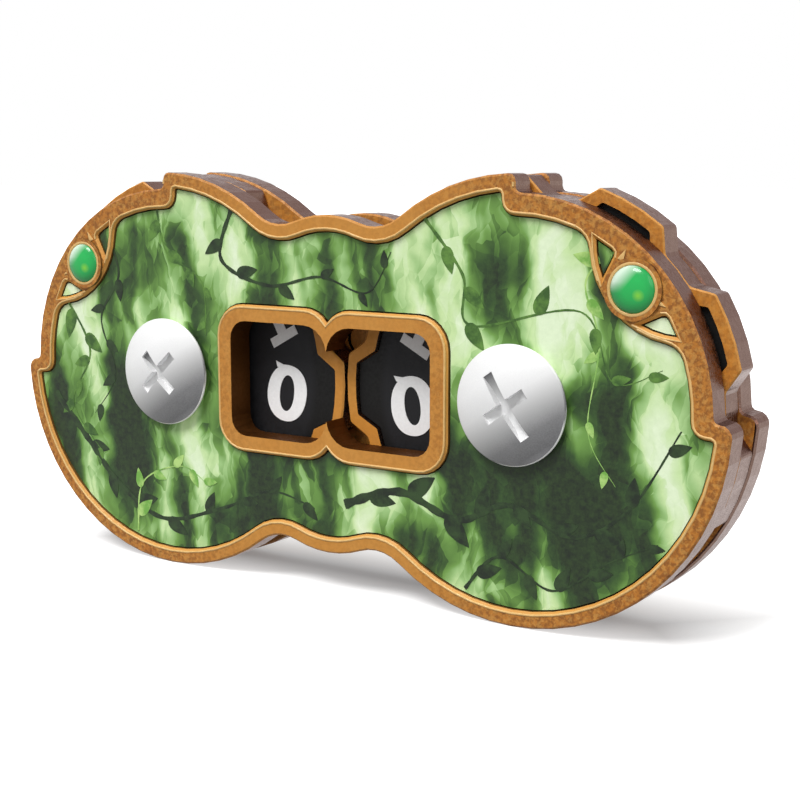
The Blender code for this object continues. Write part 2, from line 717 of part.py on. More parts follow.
def barrel_nut(side, sign):
    nut = turned(side + "_barrel_nut", [
        (0, NUT_SEAT),
        (SHANK_HOLE, NUT_SEAT),
        (SHANK_HOLE, NUT_FRONT),
        (BARREL_RADIUS, NUT_FRONT),
        (BARREL_RADIUS, NUT_SEAT),
        (NUT_HEAD_RADIUS, NUT_SEAT),
        (NUT_HEAD_RADIUS, BACK_FACE),
        (0, BACK_FACE),
    ])
    stand(nut, sign * HALF_SPACING)
    finish(nut, "brass")


def ring(name, bore, radius, front, back, sign, material):
    piece = turned(name, [(radius, front), (radius, back), (bore, back), (bore, front)])
    stand(piece, sign * HALF_SPACING)
    finish(piece, material)


def centre_stud():
    stud = disc("centre_stud", Vector((0, STUD_HEIGHT)), STUD_RADIUS, STUD_FRONT, STUD_BACK)
    bevel = stud.modifiers.new("edge", "BEVEL")
    bevel.width = STUD_CHAMFER
    bevel.segments = 1
    bevel.limit_method = "ANGLE"
    finish(stud, "copper")


front_shell()
back_shell()
art_panel()
centre_stud()
for side, sign in SIDES.items():
    for level in ("upper", "lower"):
        slit_inlay(side, level)
    gem(side)
    dial(side, sign)
    dial_screw(side, sign)
    barrel_nut(side, sign)
    ring(side + "_bush", BUSH_BORE, BUSH_RADIUS, FRONT_THICKNESS + SEAT_GAP,
         BACK_FRONT - SEAT_GAP, sign, "nylon")
    ring(side + "_friction_washer", DIAL_BORE, WASHER_RADIUS, DIAL_BACK + SEAT_GAP,
         WASHER_SEAT - SEAT_GAP, sign, "felt")
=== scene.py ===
# %% [markdown]
# # A dial life counter, dressed around its CAD frame
#
# The counter keeps the score in card and board games. Two lobed dials turn between two figure-eight
# shells, and a double window shows one digit of each. The imported CAD model gives every solid its
# shape and place. This file adds antique copper paint with gold edges, a printed design under the
# rim, emerald stones, satin screw heads and painted digits. First the frame is loaded.

# %% Load the frame
import math

import bmesh
import bpy
from mathutils import Matrix, Vector


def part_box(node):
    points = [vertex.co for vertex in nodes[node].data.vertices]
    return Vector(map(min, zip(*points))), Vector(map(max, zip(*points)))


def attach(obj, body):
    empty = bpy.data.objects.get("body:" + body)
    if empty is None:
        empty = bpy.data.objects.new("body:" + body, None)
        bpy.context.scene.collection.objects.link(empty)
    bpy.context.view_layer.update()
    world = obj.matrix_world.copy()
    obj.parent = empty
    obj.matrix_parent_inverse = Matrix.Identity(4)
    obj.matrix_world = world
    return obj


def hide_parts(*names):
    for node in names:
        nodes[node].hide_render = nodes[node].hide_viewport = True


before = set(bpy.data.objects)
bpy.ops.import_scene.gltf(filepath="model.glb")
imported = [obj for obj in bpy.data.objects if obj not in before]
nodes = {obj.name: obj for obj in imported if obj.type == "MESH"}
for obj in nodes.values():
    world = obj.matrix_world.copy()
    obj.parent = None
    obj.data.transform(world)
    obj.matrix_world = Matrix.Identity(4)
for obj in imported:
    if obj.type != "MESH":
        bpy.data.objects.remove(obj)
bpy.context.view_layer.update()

# %% [markdown]
# ## Places that everything else is measured from
#
# All lengths are in metres, as in the CAD model, and one millimetre is named so that sizes read as a
# maker says them. The dials turn about two axes that run front to back, and most of the face is a
# flat panel just behind the rim.

# %% Places
MM = 0.001
AXIS_X = 22.5 * MM
AXIS_Z = 22.5 * MM
BEZEL_RISE = 0.25 * MM
RIM_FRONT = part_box("front_shell")[0].y + BEZEL_RISE
DISC_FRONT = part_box("left_number_disc")[0].y
SIDES = {"left": -1, "right": 1}
print("rim front at", round(RIM_FRONT / MM, 3), "mm, number discs at", round(DISC_FRONT / MM, 3), "mm")

# %% [markdown]
# ## The camera
#
# A photograph has one true viewpoint. It was solved from points such as the screw centres and the
# corners of the window, so the camera stands where the photographer stood. A long lens of 66 mm keeps
# the far lobe nearly as large as the near one.

# %% Camera
CAMERA_PLACE = Vector((0.091324, -0.129718, 0.045399))
CAMERA_AIM = Vector((-0.54015, 0.82718, -0.15497))
CAMERA_LENS = 66.37
SENSOR_WIDTH = 36


def put(name, data):
    """A new object in the scene that holds a mesh, a curve, a camera or a lamp."""
    item = bpy.data.objects.new(name, data)
    bpy.context.scene.collection.objects.link(item)
    return item


camera = put("camera", bpy.data.cameras.new("camera"))
camera.data.lens = CAMERA_LENS
camera.data.sensor_width = SENSOR_WIDTH
camera.data.clip_start = MM
camera.location = CAMERA_PLACE
camera.rotation_euler = CAMERA_AIM.to_track_quat("-Z", "Y").to_euler()
bpy.context.scene.camera = camera
print("camera", [round(v, 4) for v in camera.location])

# %% [markdown]
# ## A small kit for shader nodes
#
# A node material is a graph: boxes that make values, and links that carry them. Short helpers keep
# the graphs readable: they add a node, do arithmetic, mix two colours by a mask, or turn a value into
# a colour along a ramp. A helper that is given a socket works in the graph of that socket.

# %% Node helpers


def fill(item, inputs):
    """Fills the sockets of a node, each with a plain value or with another node's output."""
    for name, value in inputs.items():
        if isinstance(value, bpy.types.NodeSocket):
            item.id_data.links.new(value, item.inputs[name])
        else:
            item.inputs[name].default_value = value


def add_node(tree, kind, inputs, **settings):
    """A new node with its sockets filled. Settings are its properties."""
    item = tree.nodes.new(kind)
    for name, value in settings.items():
        setattr(item, name, value)
    fill(item, inputs)
    return item


def graph_of(*values):
    """The graph that the first socket among the values belongs to."""
    return next(value.id_data for value in values if isinstance(value, bpy.types.NodeSocket))


def calc(operation, *values):
    """The result of a Math node."""
    return add_node(graph_of(*values), "ShaderNodeMath", dict(enumerate(values)),
                    operation=operation).outputs[0]


def calc_vector(operation, *values):
    """The outputs of a Vector Math node, Vector and Value."""
    return add_node(graph_of(*values), "ShaderNodeVectorMath", dict(enumerate(values)),
                    operation=operation).outputs


def part_of(mask, share):
    """A mask at less than its full strength."""
    return calc("MULTIPLY", mask, share)


def both(*masks):
    """1 where all the masks are 1."""
    return masks[0] if len(masks) == 1 else calc("MULTIPLY", both(*masks[:-1]), masks[-1])


def from_to(mask, low, high):
    """Low where the mask is 0, and high where it is 1."""
    return calc("MULTIPLY_ADD", mask, high - low, low)


def between(value, low, high):
    """0 below low, 1 above high, and an even slope from one to the other."""
    return add_node(value.id_data, "ShaderNodeMapRange", {
        "Value": value, "From Min": low, "From Max": high}).outputs["Result"]


print("arithmetic helpers ready")

# %% Colour helpers


def rgba(value):
    """A colour of three numbers gets its alpha; anything else stays as it is."""
    return (*value, 1) if isinstance(value, tuple) else value


def mix(mask, first, second):
    """The first colour where the mask is 0 and the second where it is 1."""
    return add_node(graph_of(mask, first, second), "ShaderNodeMix",
                    {0: mask, 6: rgba(first), 7: rgba(second)}, data_type="RGBA").outputs[2]


def ramp(value, stops):
    """A colour along a ramp of (place, colour) stops."""
    item = add_node(value.id_data, "ShaderNodeValToRGB", {"Fac": value})
    band = item.color_ramp
    while len(band.elements) < len(stops):
        band.elements.new(0.5)
    for element, (place, colour) in zip(band.elements, stops):
        element.position = place
        element.color = rgba(colour)
    return item.outputs["Color"]


def noise(vector, scale, detail, roughness=0.5):
    """The outputs of a noise texture: Fac and Color."""
    return add_node(vector.id_data, "ShaderNodeTexNoise", {
        "Vector": vector, "Scale": scale, "Detail": detail, "Roughness": roughness}).outputs


print("colour helpers ready")

# %% Places and directions in a graph


def object_place(tree):
    """The point on the surface in the piece's own coordinates, in metres."""
    return tree.nodes.new("ShaderNodeTexCoord").outputs["Object"]


def split(vector):
    """The X, Y and Z of a vector."""
    return add_node(vector.id_data, "ShaderNodeSeparateXYZ", {0: vector}).outputs


def normal_parts(tree):
    """The X, Y and Z of the surface's direction."""
    return split(tree.nodes.new("ShaderNodeTexCoord").outputs["Normal"])


def scaled(vector, factor):
    """A vector times a number, or times three numbers, one for each axis."""
    if isinstance(factor, tuple):
        return calc_vector("MULTIPLY", vector, factor)["Vector"]
    return add_node(vector.id_data, "ShaderNodeVectorMath", {0: vector, "Scale": factor},
                    operation="SCALE").outputs["Vector"]


print("place helpers ready")

# %% [markdown]
# ## Shared effects
#
# Two effects come back in more than one finish, so each is a node group with named sockets. Grain
# gives a cloudy mask at a size in millimetres. Facing tells the bevelled edges and the walls of a
# piece from its flat faces by their direction. A group puts out masks, and a material uses them.

# %% Group maker


def new_group(name, sockets_in, masks_out):
    """An empty node group with number inputs and mask outputs, and its two end nodes."""
    group = bpy.data.node_groups.new(name, "ShaderNodeTree")
    for label, value in sockets_in.items():
        socket = group.interface.new_socket(label, in_out="INPUT", socket_type="NodeSocketFloat")
        socket.default_value = value
    for label in masks_out:
        group.interface.new_socket(label, in_out="OUTPUT", socket_type="NodeSocketFloat")
    source = group.nodes.new("NodeGroupInput")
    sink = group.nodes.new("NodeGroupOutput")
    return group, source.outputs, sink.inputs


def use_group(tree, name, inputs):
    """The outputs of a node that stands for a group."""
    item = tree.nodes.new("ShaderNodeGroup")
    item.node_tree = bpy.data.node_groups[name]
    fill(item, inputs)
    return item.outputs


print("group maker ready")

# %% Grain group
GRAIN_ROUGHNESS = 0.62
GRAIN_STRETCH = 3

group, given, result = new_group("grain", {"Size mm": 1, "Detail": 5, "Contrast": 1}, ["Mask"])
per_size = calc("DIVIDE", 1 / MM, given["Size mm"])
cloud = noise(scaled(object_place(group), per_size), 1.0, given["Detail"], GRAIN_ROUGHNESS)
centred = calc("SUBTRACT", cloud["Fac"], 0.5)
stretched = part_of(calc("MULTIPLY", centred, given["Contrast"]), GRAIN_STRETCH)
lifted = add_node(group, "ShaderNodeMath", {0: stretched, 1: 0.5}, operation="ADD", use_clamp=True)
group.links.new(lifted.outputs[0], result["Mask"])


def grain(tree, size, detail, contrast):
    """The mask of the grain group, with its size in millimetres."""
    return use_group(tree, "grain", {0: size, 1: detail, 2: contrast})["Mask"]


print("group", group.name)

# %% Facing group
FLAT_LIMIT = 0.92
WALL_LIMIT = 0.3

group, given, result = new_group("facing", {}, ["Bevel", "Wall"])
forward = calc("MULTIPLY", normal_parts(group)["Y"], -1)
front = calc("GREATER_THAN", forward, FLAT_LIMIT)
back = calc("LESS_THAN", forward, -FLAT_LIMIT)
slanted = calc("GREATER_THAN", calc("ABSOLUTE", forward), WALL_LIMIT)
bevel = calc("SUBTRACT", calc("SUBTRACT", slanted, front), back)
group.links.new(bevel, result["Bevel"])
group.links.new(calc("SUBTRACT", 1, slanted), result["Wall"])
print("group", group.name)

# %% Material helpers


def new_material(name):
    """A node material with its Principled BSDF at hand."""
    material = bpy.data.materials.new(name)
    material.use_nodes = True
    return material, material.node_tree, material.node_tree.nodes["Principled BSDF"]


def feed(shader, **sockets):
    """Fills the sockets of a shader by name. Underscores stand for spaces."""
    fill(shader, {name.replace("_", " "): rgba(value) for name, value in sockets.items()})


def set_bump(shader, height, strength, depth_mm):
    """Relief from a height mask."""
    bump = add_node(height.id_data, "ShaderNodeBump", {
        "Strength": strength, "Distance": depth_mm * MM, "Height": height})
    feed(shader, Normal=bump.outputs["Normal"])


def grained(name, first, second, texture, share=1.0, rough=(0.36, 0.48), relief=(0.1, 0.01),
            specular=0.5):
    """A material whose grain mixes two tones, and moves the roughness where that has two values."""
    material, tree, shader = new_material(name)
    mask = grain(tree, *texture)
    feed(shader, Base_Color=mix(part_of(mask, share), first, second),
         Roughness=from_to(mask, *rough) if isinstance(rough, tuple) else rough,
         Specular_IOR_Level=specular)
    set_bump(shader, mask, *relief)
    return material


print("material helpers ready")

# %% [markdown]
# ## Antique copper paint
#
# The shells and dials are painted like old copper. The front faces are orange: smooth on the window
# frame, and flecked with brown and pale spots towards the outer lobes, where hands rub. Edges that
# look at the panel are gold, and the walls inside the window carry a painted shade of warm dark
# brown. The cut sides have a satin shine, so they mirror the orange lobes next to them, and their
# colour is painted light and shade by direction: grey where they look right or down, dark plum where
# they look up and left. One function makes the finish for shells and dials, with masks from the
# place and direction of the surface.

# %% Copper colours
FACE_ORANGE = (0.55, 0.240, 0.040)
FACE_RUST = (0.40, 0.135, 0.013)
LOBE_AMBER = (0.66, 0.25, 0.022)
FLECK_BROWN = (0.120, 0.036, 0.007)
FLECK_PALE = (0.64, 0.34, 0.085)
EDGE_GOLD = (0.60, 0.285, 0.055)
EDGE_TINT = (0.84, 0.76, 0.75)
# The next three wall colours paint light and shade on the cut sides by their direction: a highlight, a
# lit grey and a plum shade, which also tints cloudy blotches.
WALL_PAINTED_HIGHLIGHT = (0.76, 0.72, 0.70)
WALL_LIT_GREY = (0.315, 0.222, 0.182)
WALL_PLUM_SHADE_AND_BLOTCHES = (0.152, 0.080, 0.060)
WALL_DUSK = (0.085, 0.042, 0.034)
POCKET_BROWN = (0.17, 0.082, 0.016)
# Painted shade for the walls inside the window.
LINING_SHADE_BROWN = (0.110, 0.040, 0.009)
print("copper colours ready")

# %% Masks for the copper
# Inside this box the window's walls get their painted shade and a metal finish.
LINING_BOX = (13.6 * MM, 7.2 * MM)
FRAME_BOX = (15.6 * MM, 8.8 * MM)
RIM_REACH = 20.2 * MM
BRIM_REACH = 22.1 * MM
BRIM_START = 36 * MM


def box_mask(tree, half_width, half_height):
    """1 inside an upright box round the middle of the counter, 0 outside it."""
    place = split(object_place(tree))
    wide = calc("LESS_THAN", calc("ABSOLUTE", place["X"]), half_width)
    level = calc("ABSOLUTE", calc("SUBTRACT", place["Z"], AXIS_Z))
    return both(wide, calc("LESS_THAN", level, half_height))


def reach_from_axis(tree):
    """The distance from the nearer dial axis, and how far the surface looks away from that axis."""
    coords = tree.nodes.new("ShaderNodeTexCoord").outputs
    place = split(coords["Object"])
    side = calc("SIGN", place["X"])
    from_axis = add_node(tree, "ShaderNodeCombineXYZ", {
        "X": calc("SUBTRACT", place["X"], part_of(side, AXIS_X)),
        "Z": calc("SUBTRACT", place["Z"], AXIS_Z)}).outputs["Vector"]
    outwards = calc_vector("DOT_PRODUCT", scaled(from_axis, 1 / MM), coords["Normal"])
    return calc_vector("LENGTH", from_axis)["Value"], outwards["Value"]


def inner_edges(tree):
    """1 on the front shell's edges that look towards the panel: rim, tracery and window frame."""
    reach, outwards = reach_from_axis(tree)
    inwards = calc("LESS_THAN", outwards, 0.0)
    near = calc("LESS_THAN", reach, RIM_REACH)
    any_of = calc("MAXIMUM", calc("MAXIMUM", inwards, near), box_mask(tree, *FRAME_BOX))
    return both(any_of, calc("LESS_THAN", split(object_place(tree))["Y"], 0.0))


def back_brim(tree, bevel):
    """1 on the back shell's brim at its right end, which shows behind the lobes."""
    reach, _ = reach_from_axis(tree)
    brim = calc("MAXIMUM", bevel, calc("GREATER_THAN", reach, BRIM_REACH))
    place = split(object_place(tree))
    return both(brim, calc("GREATER_THAN", place["Y"], 0.0),
                calc("GREATER_THAN", place["X"], BRIM_START))


print("copper masks ready")

# %% Copper paint
SMOOTH_HALF = 10 * MM
WORN_HALF = 22 * MM
BACK_WEAR = 0.6


def mottled_face(tree, worn):
    """Orange with brown and pale flecks where the surface is worn. Also gives the fleck mask."""
    broad = grain(tree, 2.4, 4, 1.2)
    fleck = grain(tree, 0.52, 4, 1.9)
    spot = grain(tree, 0.45, 3, 2.0)
    face = mix(from_to(worn, 0.1, 0.8), FACE_ORANGE, FACE_RUST)
    face = mix(part_of(broad, 0.16), face, FLECK_PALE)
    face = mix(both(fleck, from_to(worn, 0.12, 0.62)), face, FLECK_BROWN)
    spotted = both(between(spot, 0.55, 1.0), from_to(worn, 0.06, 0.36))
    return mix(spotted, face, FLECK_PALE), fleck


def cut_side(tree):
    """Painted light and shade by direction: a lit grey where the sides look right or down, a painted
    highlight where they look furthest down and right, and dark plum shade where they look up and left.
    """
    normal = normal_parts(tree)
    lean = calc("SUBTRACT", normal["X"], part_of(normal["Z"], 0.75))
    cloud = grain(tree, 1.2, 5, 1.0)
    dust = grain(tree, 0.14, 3, 1.6)
    wall = mix(between(lean, 0.45, 1.1), WALL_PLUM_SHADE_AND_BLOTCHES, WALL_LIT_GREY)
    wall = mix(between(lean, 1.05, 1.4), wall, WALL_PAINTED_HIGHLIGHT)
    wall = mix(part_of(cloud, 0.25), wall, WALL_PLUM_SHADE_AND_BLOTCHES)
    return mix(part_of(dust, 0.30), wall, WALL_DUSK)


def copper_paint(name, is_shell, wear, gold_share):
    """Mottled faces, gold edges and sides with painted shade and highlight. A shell has painted shade
    on the walls of its window and plain outer edges.
    """
    material, tree, shader = new_material(name)
    facing = use_group(tree, "facing", {})
    place = split(object_place(tree))
    behind = part_of(calc("GREATER_THAN", place["Y"], 0.0), BACK_WEAR)
    aside = between(calc("ABSOLUTE", place["X"]), SMOOTH_HALF, WORN_HALF)
    worn = calc("MAXIMUM", part_of(aside, wear), behind)
    face, fleck = mottled_face(tree, worn)
    # The cut sides get painted shade and highlight by their direction.
    wall = cut_side(tree)
    gold = part_of(facing["Bevel"], gold_share)
    side = satin = metal = facing["Wall"]
    if is_shell:
        side = calc("MAXIMUM", side, back_brim(tree, facing["Bevel"]))
        inner = inner_edges(tree)
        # Painted shade: the walls inside the window turn a warm dark brown.
        shaded_lining = box_mask(tree, *LINING_BOX)
        wall = mix(shaded_lining, mix(inner, wall, POCKET_BROWN), LINING_SHADE_BROWN)
        gold = both(gold, inner)
        satin = both(side, calc("SUBTRACT", 1, inner))
        metal = calc("MAXIMUM", satin, both(side, shaded_lining))
    else:
        face = mix(0.25, face, LOBE_AMBER)
    rough = calc("SUBTRACT", from_to(fleck, 0.46, 0.62), part_of(satin, 0.27))
    feed(shader, Base_Color=mix(gold, mix(side, face, wall), EDGE_GOLD), Roughness=rough,
         Metallic=part_of(metal, 0.95), Specular_Tint=EDGE_TINT)
    set_bump(shader, both(fleck, from_to(worn, 0.2, 1.0)), 0.35, 0.03)
    return material


shell_paint = copper_paint("shell copper", True, wear=1.0, gold_share=0.95)
dial_paint = copper_paint("dial copper", False, wear=0.85, gold_share=0.6)
print("paints:", shell_paint.name, "and", dial_paint.name)

# %% [markdown]
# ## The printed design
#
# The panel under the rim carries a print. Here it is a free design of the original's greens and
# scale: misty shafts of pale light between dark masses, laid down in short upright brush dabs. The
# inlays behind the slits use the same material, and because it reads object coordinates the design
# runs on through them.

# %% Print
PRINT_NIGHT = (0.010, 0.017, 0.009)
PRINT_DEEP = (0.026, 0.060, 0.018)
PRINT_MOSS = (0.070, 0.155, 0.032)
PRINT_LEAF = (0.165, 0.330, 0.075)
PRINT_MINT = (0.34, 0.56, 0.22)
PRINT_PALE = (0.60, 0.80, 0.40)
PRINT_MIST = (0.80, 0.93, 0.66)
PRINT_STOPS = [(0.41, PRINT_NIGHT), (0.455, PRINT_DEEP), (0.48, PRINT_MOSS), (0.512, PRINT_LEAF),
               (0.54, PRINT_MINT), (0.575, PRINT_PALE), (0.64, PRINT_MIST)]


def cells_along(place, width, height, lean):
    """The place on cells of a width and height in millimetres that lean by some degrees."""
    return add_node(place.id_data, "ShaderNodeMapping", {
        "Vector": place, "Rotation": (0, math.radians(lean), 0),
        "Scale": (width, 1, height)}, vector_type="TEXTURE").outputs["Vector"]


def dabs(place, width, height, lean, strength):
    """Brush dabs: a random tone per cell, darker or lighter by half the strength at most."""
    cells = add_node(place.id_data, "ShaderNodeTexVoronoi", {
        "Vector": cells_along(place, width, height, lean), "Scale": 1.0})
    return part_of(calc("SUBTRACT", split(cells.outputs["Color"])["X"], 0.5), strength)


print_material, tree, shader = new_material("green print")
place = scaled(object_place(tree), (1 / MM, 0, 1 / MM))
warp = noise(place, 0.16, 3.0)["Color"]
bent = calc_vector("MULTIPLY_ADD", warp, (4.5, 0, 4.5), place)["Vector"]
shafts = noise(cells_along(bent, 5.2, 26, -9), 1.0, 2.0)["Fac"]
masses = noise(bent, 0.085, 3.0)["Fac"]
high = between(split(place)["Z"], 6, 40)
tone = calc("ADD", part_of(shafts, 0.58), part_of(masses, 0.42))
for layer in (dabs(bent, 0.9, 2.6, 12, 0.035), dabs(bent, 2.4, 5.5, -14, 0.045),
              from_to(high, -0.025, 0.045)):
    tone = calc("ADD", tone, layer)
brush = grain(tree, 0.5, 5, 1.0)
colour = mix(part_of(brush, 0.10), ramp(tone, PRINT_STOPS), PRINT_LEAF)
feed(shader, Base_Color=colour, Roughness=from_to(brush, 0.36, 0.48), Specular_IOR_Level=0.3)
set_bump(shader, brush, 0.15, 0.01)
print("print material:", print_material.name)

# %% [markdown]
# ## Screws, discs and the parts inside
#
# The screw heads are satin steel, blasted fine, so they show no mirror image. Their soft gradient is
# painted shade by direction, and the chamfer round each head carries a painted highlight as a thin
# bright line. The number discs are matt black, with painted shade that makes them darker still near
# their brink. Inside sit nylon bushes, felt washers and steel nuts. Each gets its own grain, and the
# steel gets faint turning marks round its axis.

# %% Steel
# Painted shade: grey tones along a ramp by the direction each part of the head looks, and a painted
# glint for the chamfer.
STEEL_SHADE_STOPS = [(0.0, (0.87,) * 3), (0.28, (0.76,) * 3), (0.50, (0.47,) * 3),
               (0.74, (0.165, 0.165, 0.17)), (0.94, (0.105, 0.105, 0.11)), (1.0, (0.19, 0.19, 0.20))]
STEEL_DUST = (0.55, 0.55, 0.56)
STEEL_PAINTED_GLINT = (0.90, 0.90, 0.91)
MARK_PITCH = 0.09 * MM


def turning_marks(tree, centre_x):
    """Fine rings round a screw's axis, as a lathe leaves them."""
    place = calc_vector("SUBTRACT", object_place(tree), (centre_x, 0, AXIS_Z))["Vector"]
    reach = calc_vector("LENGTH", scaled(place, (1, 0, 1)))["Value"]
    rings = calc("SINE", part_of(reach, 2 * math.pi / MARK_PITCH))
    return from_to(rings, 0.5, 1.0)


def satin_steel(name, centre_x):
    """Blasted steel with painted shade: white where it looks up and left, grey where it looks down and
    right, and a painted glint on the chamfer.
    """
    material, tree, shader = new_material(name)
    dust = grain(tree, 0.14, 4, 1.4)
    cloud = grain(tree, 3.0, 3, 0.8)
    normal = normal_parts(tree)
    # Painted shade and highlight by direction: white up and left, dark down and right.
    shade_fall = calc("SUBTRACT", part_of(normal["X"], 0.55), part_of(normal["Z"], 0.84))
    colour = ramp(between(shade_fall, -0.22, 0.41), STEEL_SHADE_STOPS)
    colour = mix(part_of(dust, 0.10), colour, STEEL_DUST)
    colour = mix(part_of(cloud, 0.08), colour, STEEL_DUST)
    # Painted highlight: a thin bright line where the chamfer looks down and right.
    colour = mix(between(shade_fall, 0.46, 0.54), colour, STEEL_PAINTED_GLINT)
    feed(shader, Base_Color=colour, Metallic=0.1, Roughness=from_to(dust, 0.34, 0.46))
    marks = calc("ADD", part_of(turning_marks(tree, centre_x), 0.3), dust)
    set_bump(shader, marks, 0.10, 0.01)
    return material


steels = {side: satin_steel(side + " satin steel", sign * AXIS_X) for side, sign in SIDES.items()}
print("steels:", [material.name for material in steels.values()])

# %% Black disc, nylon and felt
DISC_BLACK = (0.006, 0.006, 0.007)
DISC_DUST = (0.011, 0.011, 0.013)
DISC_BRINK_SHADE = (0.0012, 0.0010, 0.0008)
BRINK_START = 17.5 * MM
BRINK_END = 18.5 * MM

disc_black = grained("disc black", DISC_BLACK, DISC_DUST, (0.3, 5, 1.3), rough=(0.54, 0.70),
                     relief=(0.2, 0.02), specular=0.25)
tree = disc_black.node_tree
shader = tree.nodes["Principled BSDF"]
# Painted shade: the disc turns darker near its brink.
reach, _ = reach_from_axis(tree)
feed(shader, Base_Color=mix(between(reach, BRINK_START, BRINK_END),
                            shader.inputs["Base Color"].links[0].from_socket, DISC_BRINK_SHADE))
nylon = grained("natural nylon", (0.62, 0.61, 0.56), (0.72, 0.71, 0.67), (0.5, 5, 1.3),
                rough=(0.47, 0.63), relief=(0.2, 0.02))
felt = grained("grey felt", (0.05, 0.05, 0.055), (0.11, 0.11, 0.12), (0.15, 5, 1.3),
               rough=(0.80, 0.96), relief=(0.2, 0.02))
print("materials:", disc_black.name, nylon.name, felt.name)

# %% [markdown]
# ## Emerald stones
#
# Each stone is a round cabochon of green glass over a bright foil. A painted sky reflection washes
# its upper left, and a painted lime glow gathers at the far side. Real transmission would show only
# the dark socket, so the depth is painted in by place on the stone, as shade that darkens towards its
# rim, and a clear coat gives a real highlight beside the painted one.

# %% Emerald
GEM_GREEN = (0.016, 0.44, 0.090)
GEM_DEPTH_SHADE = (0.008, 0.25, 0.060)
GEM_PAINTED_GLOW = (0.24, 0.66, 0.05)
GEM_PAINTED_SKY = (0.80, 0.92, 0.80)


def emerald(name, centre):
    """Green glass with a painted sky reflection at the upper left, a painted lime glow and painted
    shade towards the rim. The centre is the stone's middle.
    """
    material, tree, shader = new_material(name)
    from_centre = calc_vector("SUBTRACT", object_place(tree), (centre.x, 0, centre.z))["Vector"]
    flat = scaled(from_centre, (1, 0, 1))
    across, _, up = split(flat)

    def reach_from(x_mm, z_mm):
        return calc_vector("DISTANCE", flat, (x_mm * MM, 0, z_mm * MM))["Value"]

    # Painted depth: shade towards the rim, then a painted lime glow at the far side.
    body = mix(between(reach_from(0.4, 0), 1.0 * MM, 2.7 * MM), GEM_GREEN, GEM_DEPTH_SHADE)
    body = mix(between(reach_from(0.85, -0.5), 0.62 * MM, 0.0), body, GEM_PAINTED_GLOW)
    # Painted reflection of the sky on the upper left.
    towards = calc("SUBTRACT", part_of(up, 0.62), part_of(across, 0.78))
    painted_sky = between(towards, 0.45 * MM, 1.75 * MM)
    upper = between(up, -0.4 * MM, 0.7 * MM)
    feed(shader, Base_Color=mix(both(painted_sky, upper, 0.78), body, GEM_PAINTED_SKY), Roughness=0.25,
         Specular_IOR_Level=0.2, Coat_Weight=0.35, Coat_Roughness=0.10)
    return material


def middle_of(node_name):
    """The middle of a CAD node's box."""
    low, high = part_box(node_name)
    return (low + high) / 2


emeralds = {side: emerald(side + " emerald", middle_of(side + "_gem")) for side in SIDES}
print("stones at", [[round(v / MM, 2) for v in middle_of(s + "_gem")] for s in SIDES])

# %% [markdown]
# ## Dress the CAD nodes
#
# A CAD node whose shape is right only needs its material. The CAD model already says which of its
# edges are sharp.

# %% Assign the finishes
finishes = {"front_shell": shell_paint, "back_shell": shell_paint, "centre_stud": dial_paint,
            "art_panel": print_material}
for side in SIDES:
    for ending, material in {
            "dial": dial_paint, "number_disc": disc_black, "upper_inlay": print_material,
            "lower_inlay": print_material, "gem": emeralds[side], "screw": steels[side],
            "barrel_nut": steels[side], "bush": nylon, "friction_washer": felt}.items():
        finishes[f"{side}_{ending}"] = material
for name, material in finishes.items():
    slots = nodes[name].data.materials
    slots.clear()
    slots.append(material)
print(len(finishes), "nodes dressed of", len(nodes))

# %% [markdown]
# ## Modelling by hand, in code
#
# The next pieces are shaped with the operators that a modeller clicks: add a primitive at its place,
# enter edit mode, pick faces, extrude, scale, bisect, bevel. An operator acts on all that is selected,
# so each step clears the selection and then picks by place or direction. Transforms are applied at
# once, so that every finished object sits at the origin with its place in its mesh.

# %% Helpers for edit mode
TO_FRONT = (math.pi / 2, 0, 0)
NEAR = 0.01 * MM
MERGE = 0.001 * MM
STRAIGHT = 0.9


def take(piece):
    """Leaves edit mode and makes one object the only selected and active one."""
    if bpy.context.mode != "OBJECT":
        bpy.ops.object.mode_set(mode="OBJECT")
    bpy.ops.object.select_all(action="DESELECT")
    piece.select_set(True)
    bpy.context.view_layer.objects.active = piece
    return piece


def fresh(name):
    """Names the primitive that was just added, and moves its place into its mesh."""
    piece = take(bpy.context.active_object)
    piece.name = name
    bpy.ops.object.transform_apply(location=True, rotation=True, scale=True)
    return piece


def tell(pieces):
    """Prints the name of each piece and how many faces it has."""
    print([(item.name, len(item.data.polygons)) for item in pieces])


def edit(piece, kind="FACE"):
    """Opens a piece in edit mode with nothing selected."""
    take(piece)
    bpy.ops.object.mode_set(mode="EDIT")
    bpy.ops.mesh.select_mode(type=kind)
    bpy.ops.mesh.select_all(action="DESELECT")


def pick(piece, test):
    """Selects only the faces, edges or vertices that pass a test of their middle and themselves."""
    bpy.ops.mesh.select_all(action="DESELECT")
    drawing = bmesh.from_edit_mesh(piece.data)
    by_vertex, by_edge, _ = bpy.context.tool_settings.mesh_select_mode
    for item in drawing.verts if by_vertex else drawing.edges if by_edge else drawing.faces:
        corners = [item] if by_vertex else item.verts
        if test(sum((corner.co for corner in corners), Vector()) / len(corners), item):
            item.select_set(True)
    bmesh.update_edit_mesh(piece.data)


def looks_front(_, face):
    """The test of faces that look to the front."""
    return face.normal.y < -STRAIGHT


def looks_back(_, face):
    """The test of faces that look to the back."""
    return face.normal.y > STRAIGHT


print("selection helpers ready")

# %% Helpers that change what is selected


def select_whole():
    """Selects all of the piece."""
    bpy.ops.mesh.select_all(action="SELECT")


def move_back(distance):
    """Moves what is selected to the back; below 0 it goes to the front."""
    bpy.ops.transform.translate(value=(0, distance, 0))


def resize(shares, centre):
    """Scales what is selected about a centre, with one share for each axis."""
    bpy.ops.transform.resize(value=shares, center_override=centre)


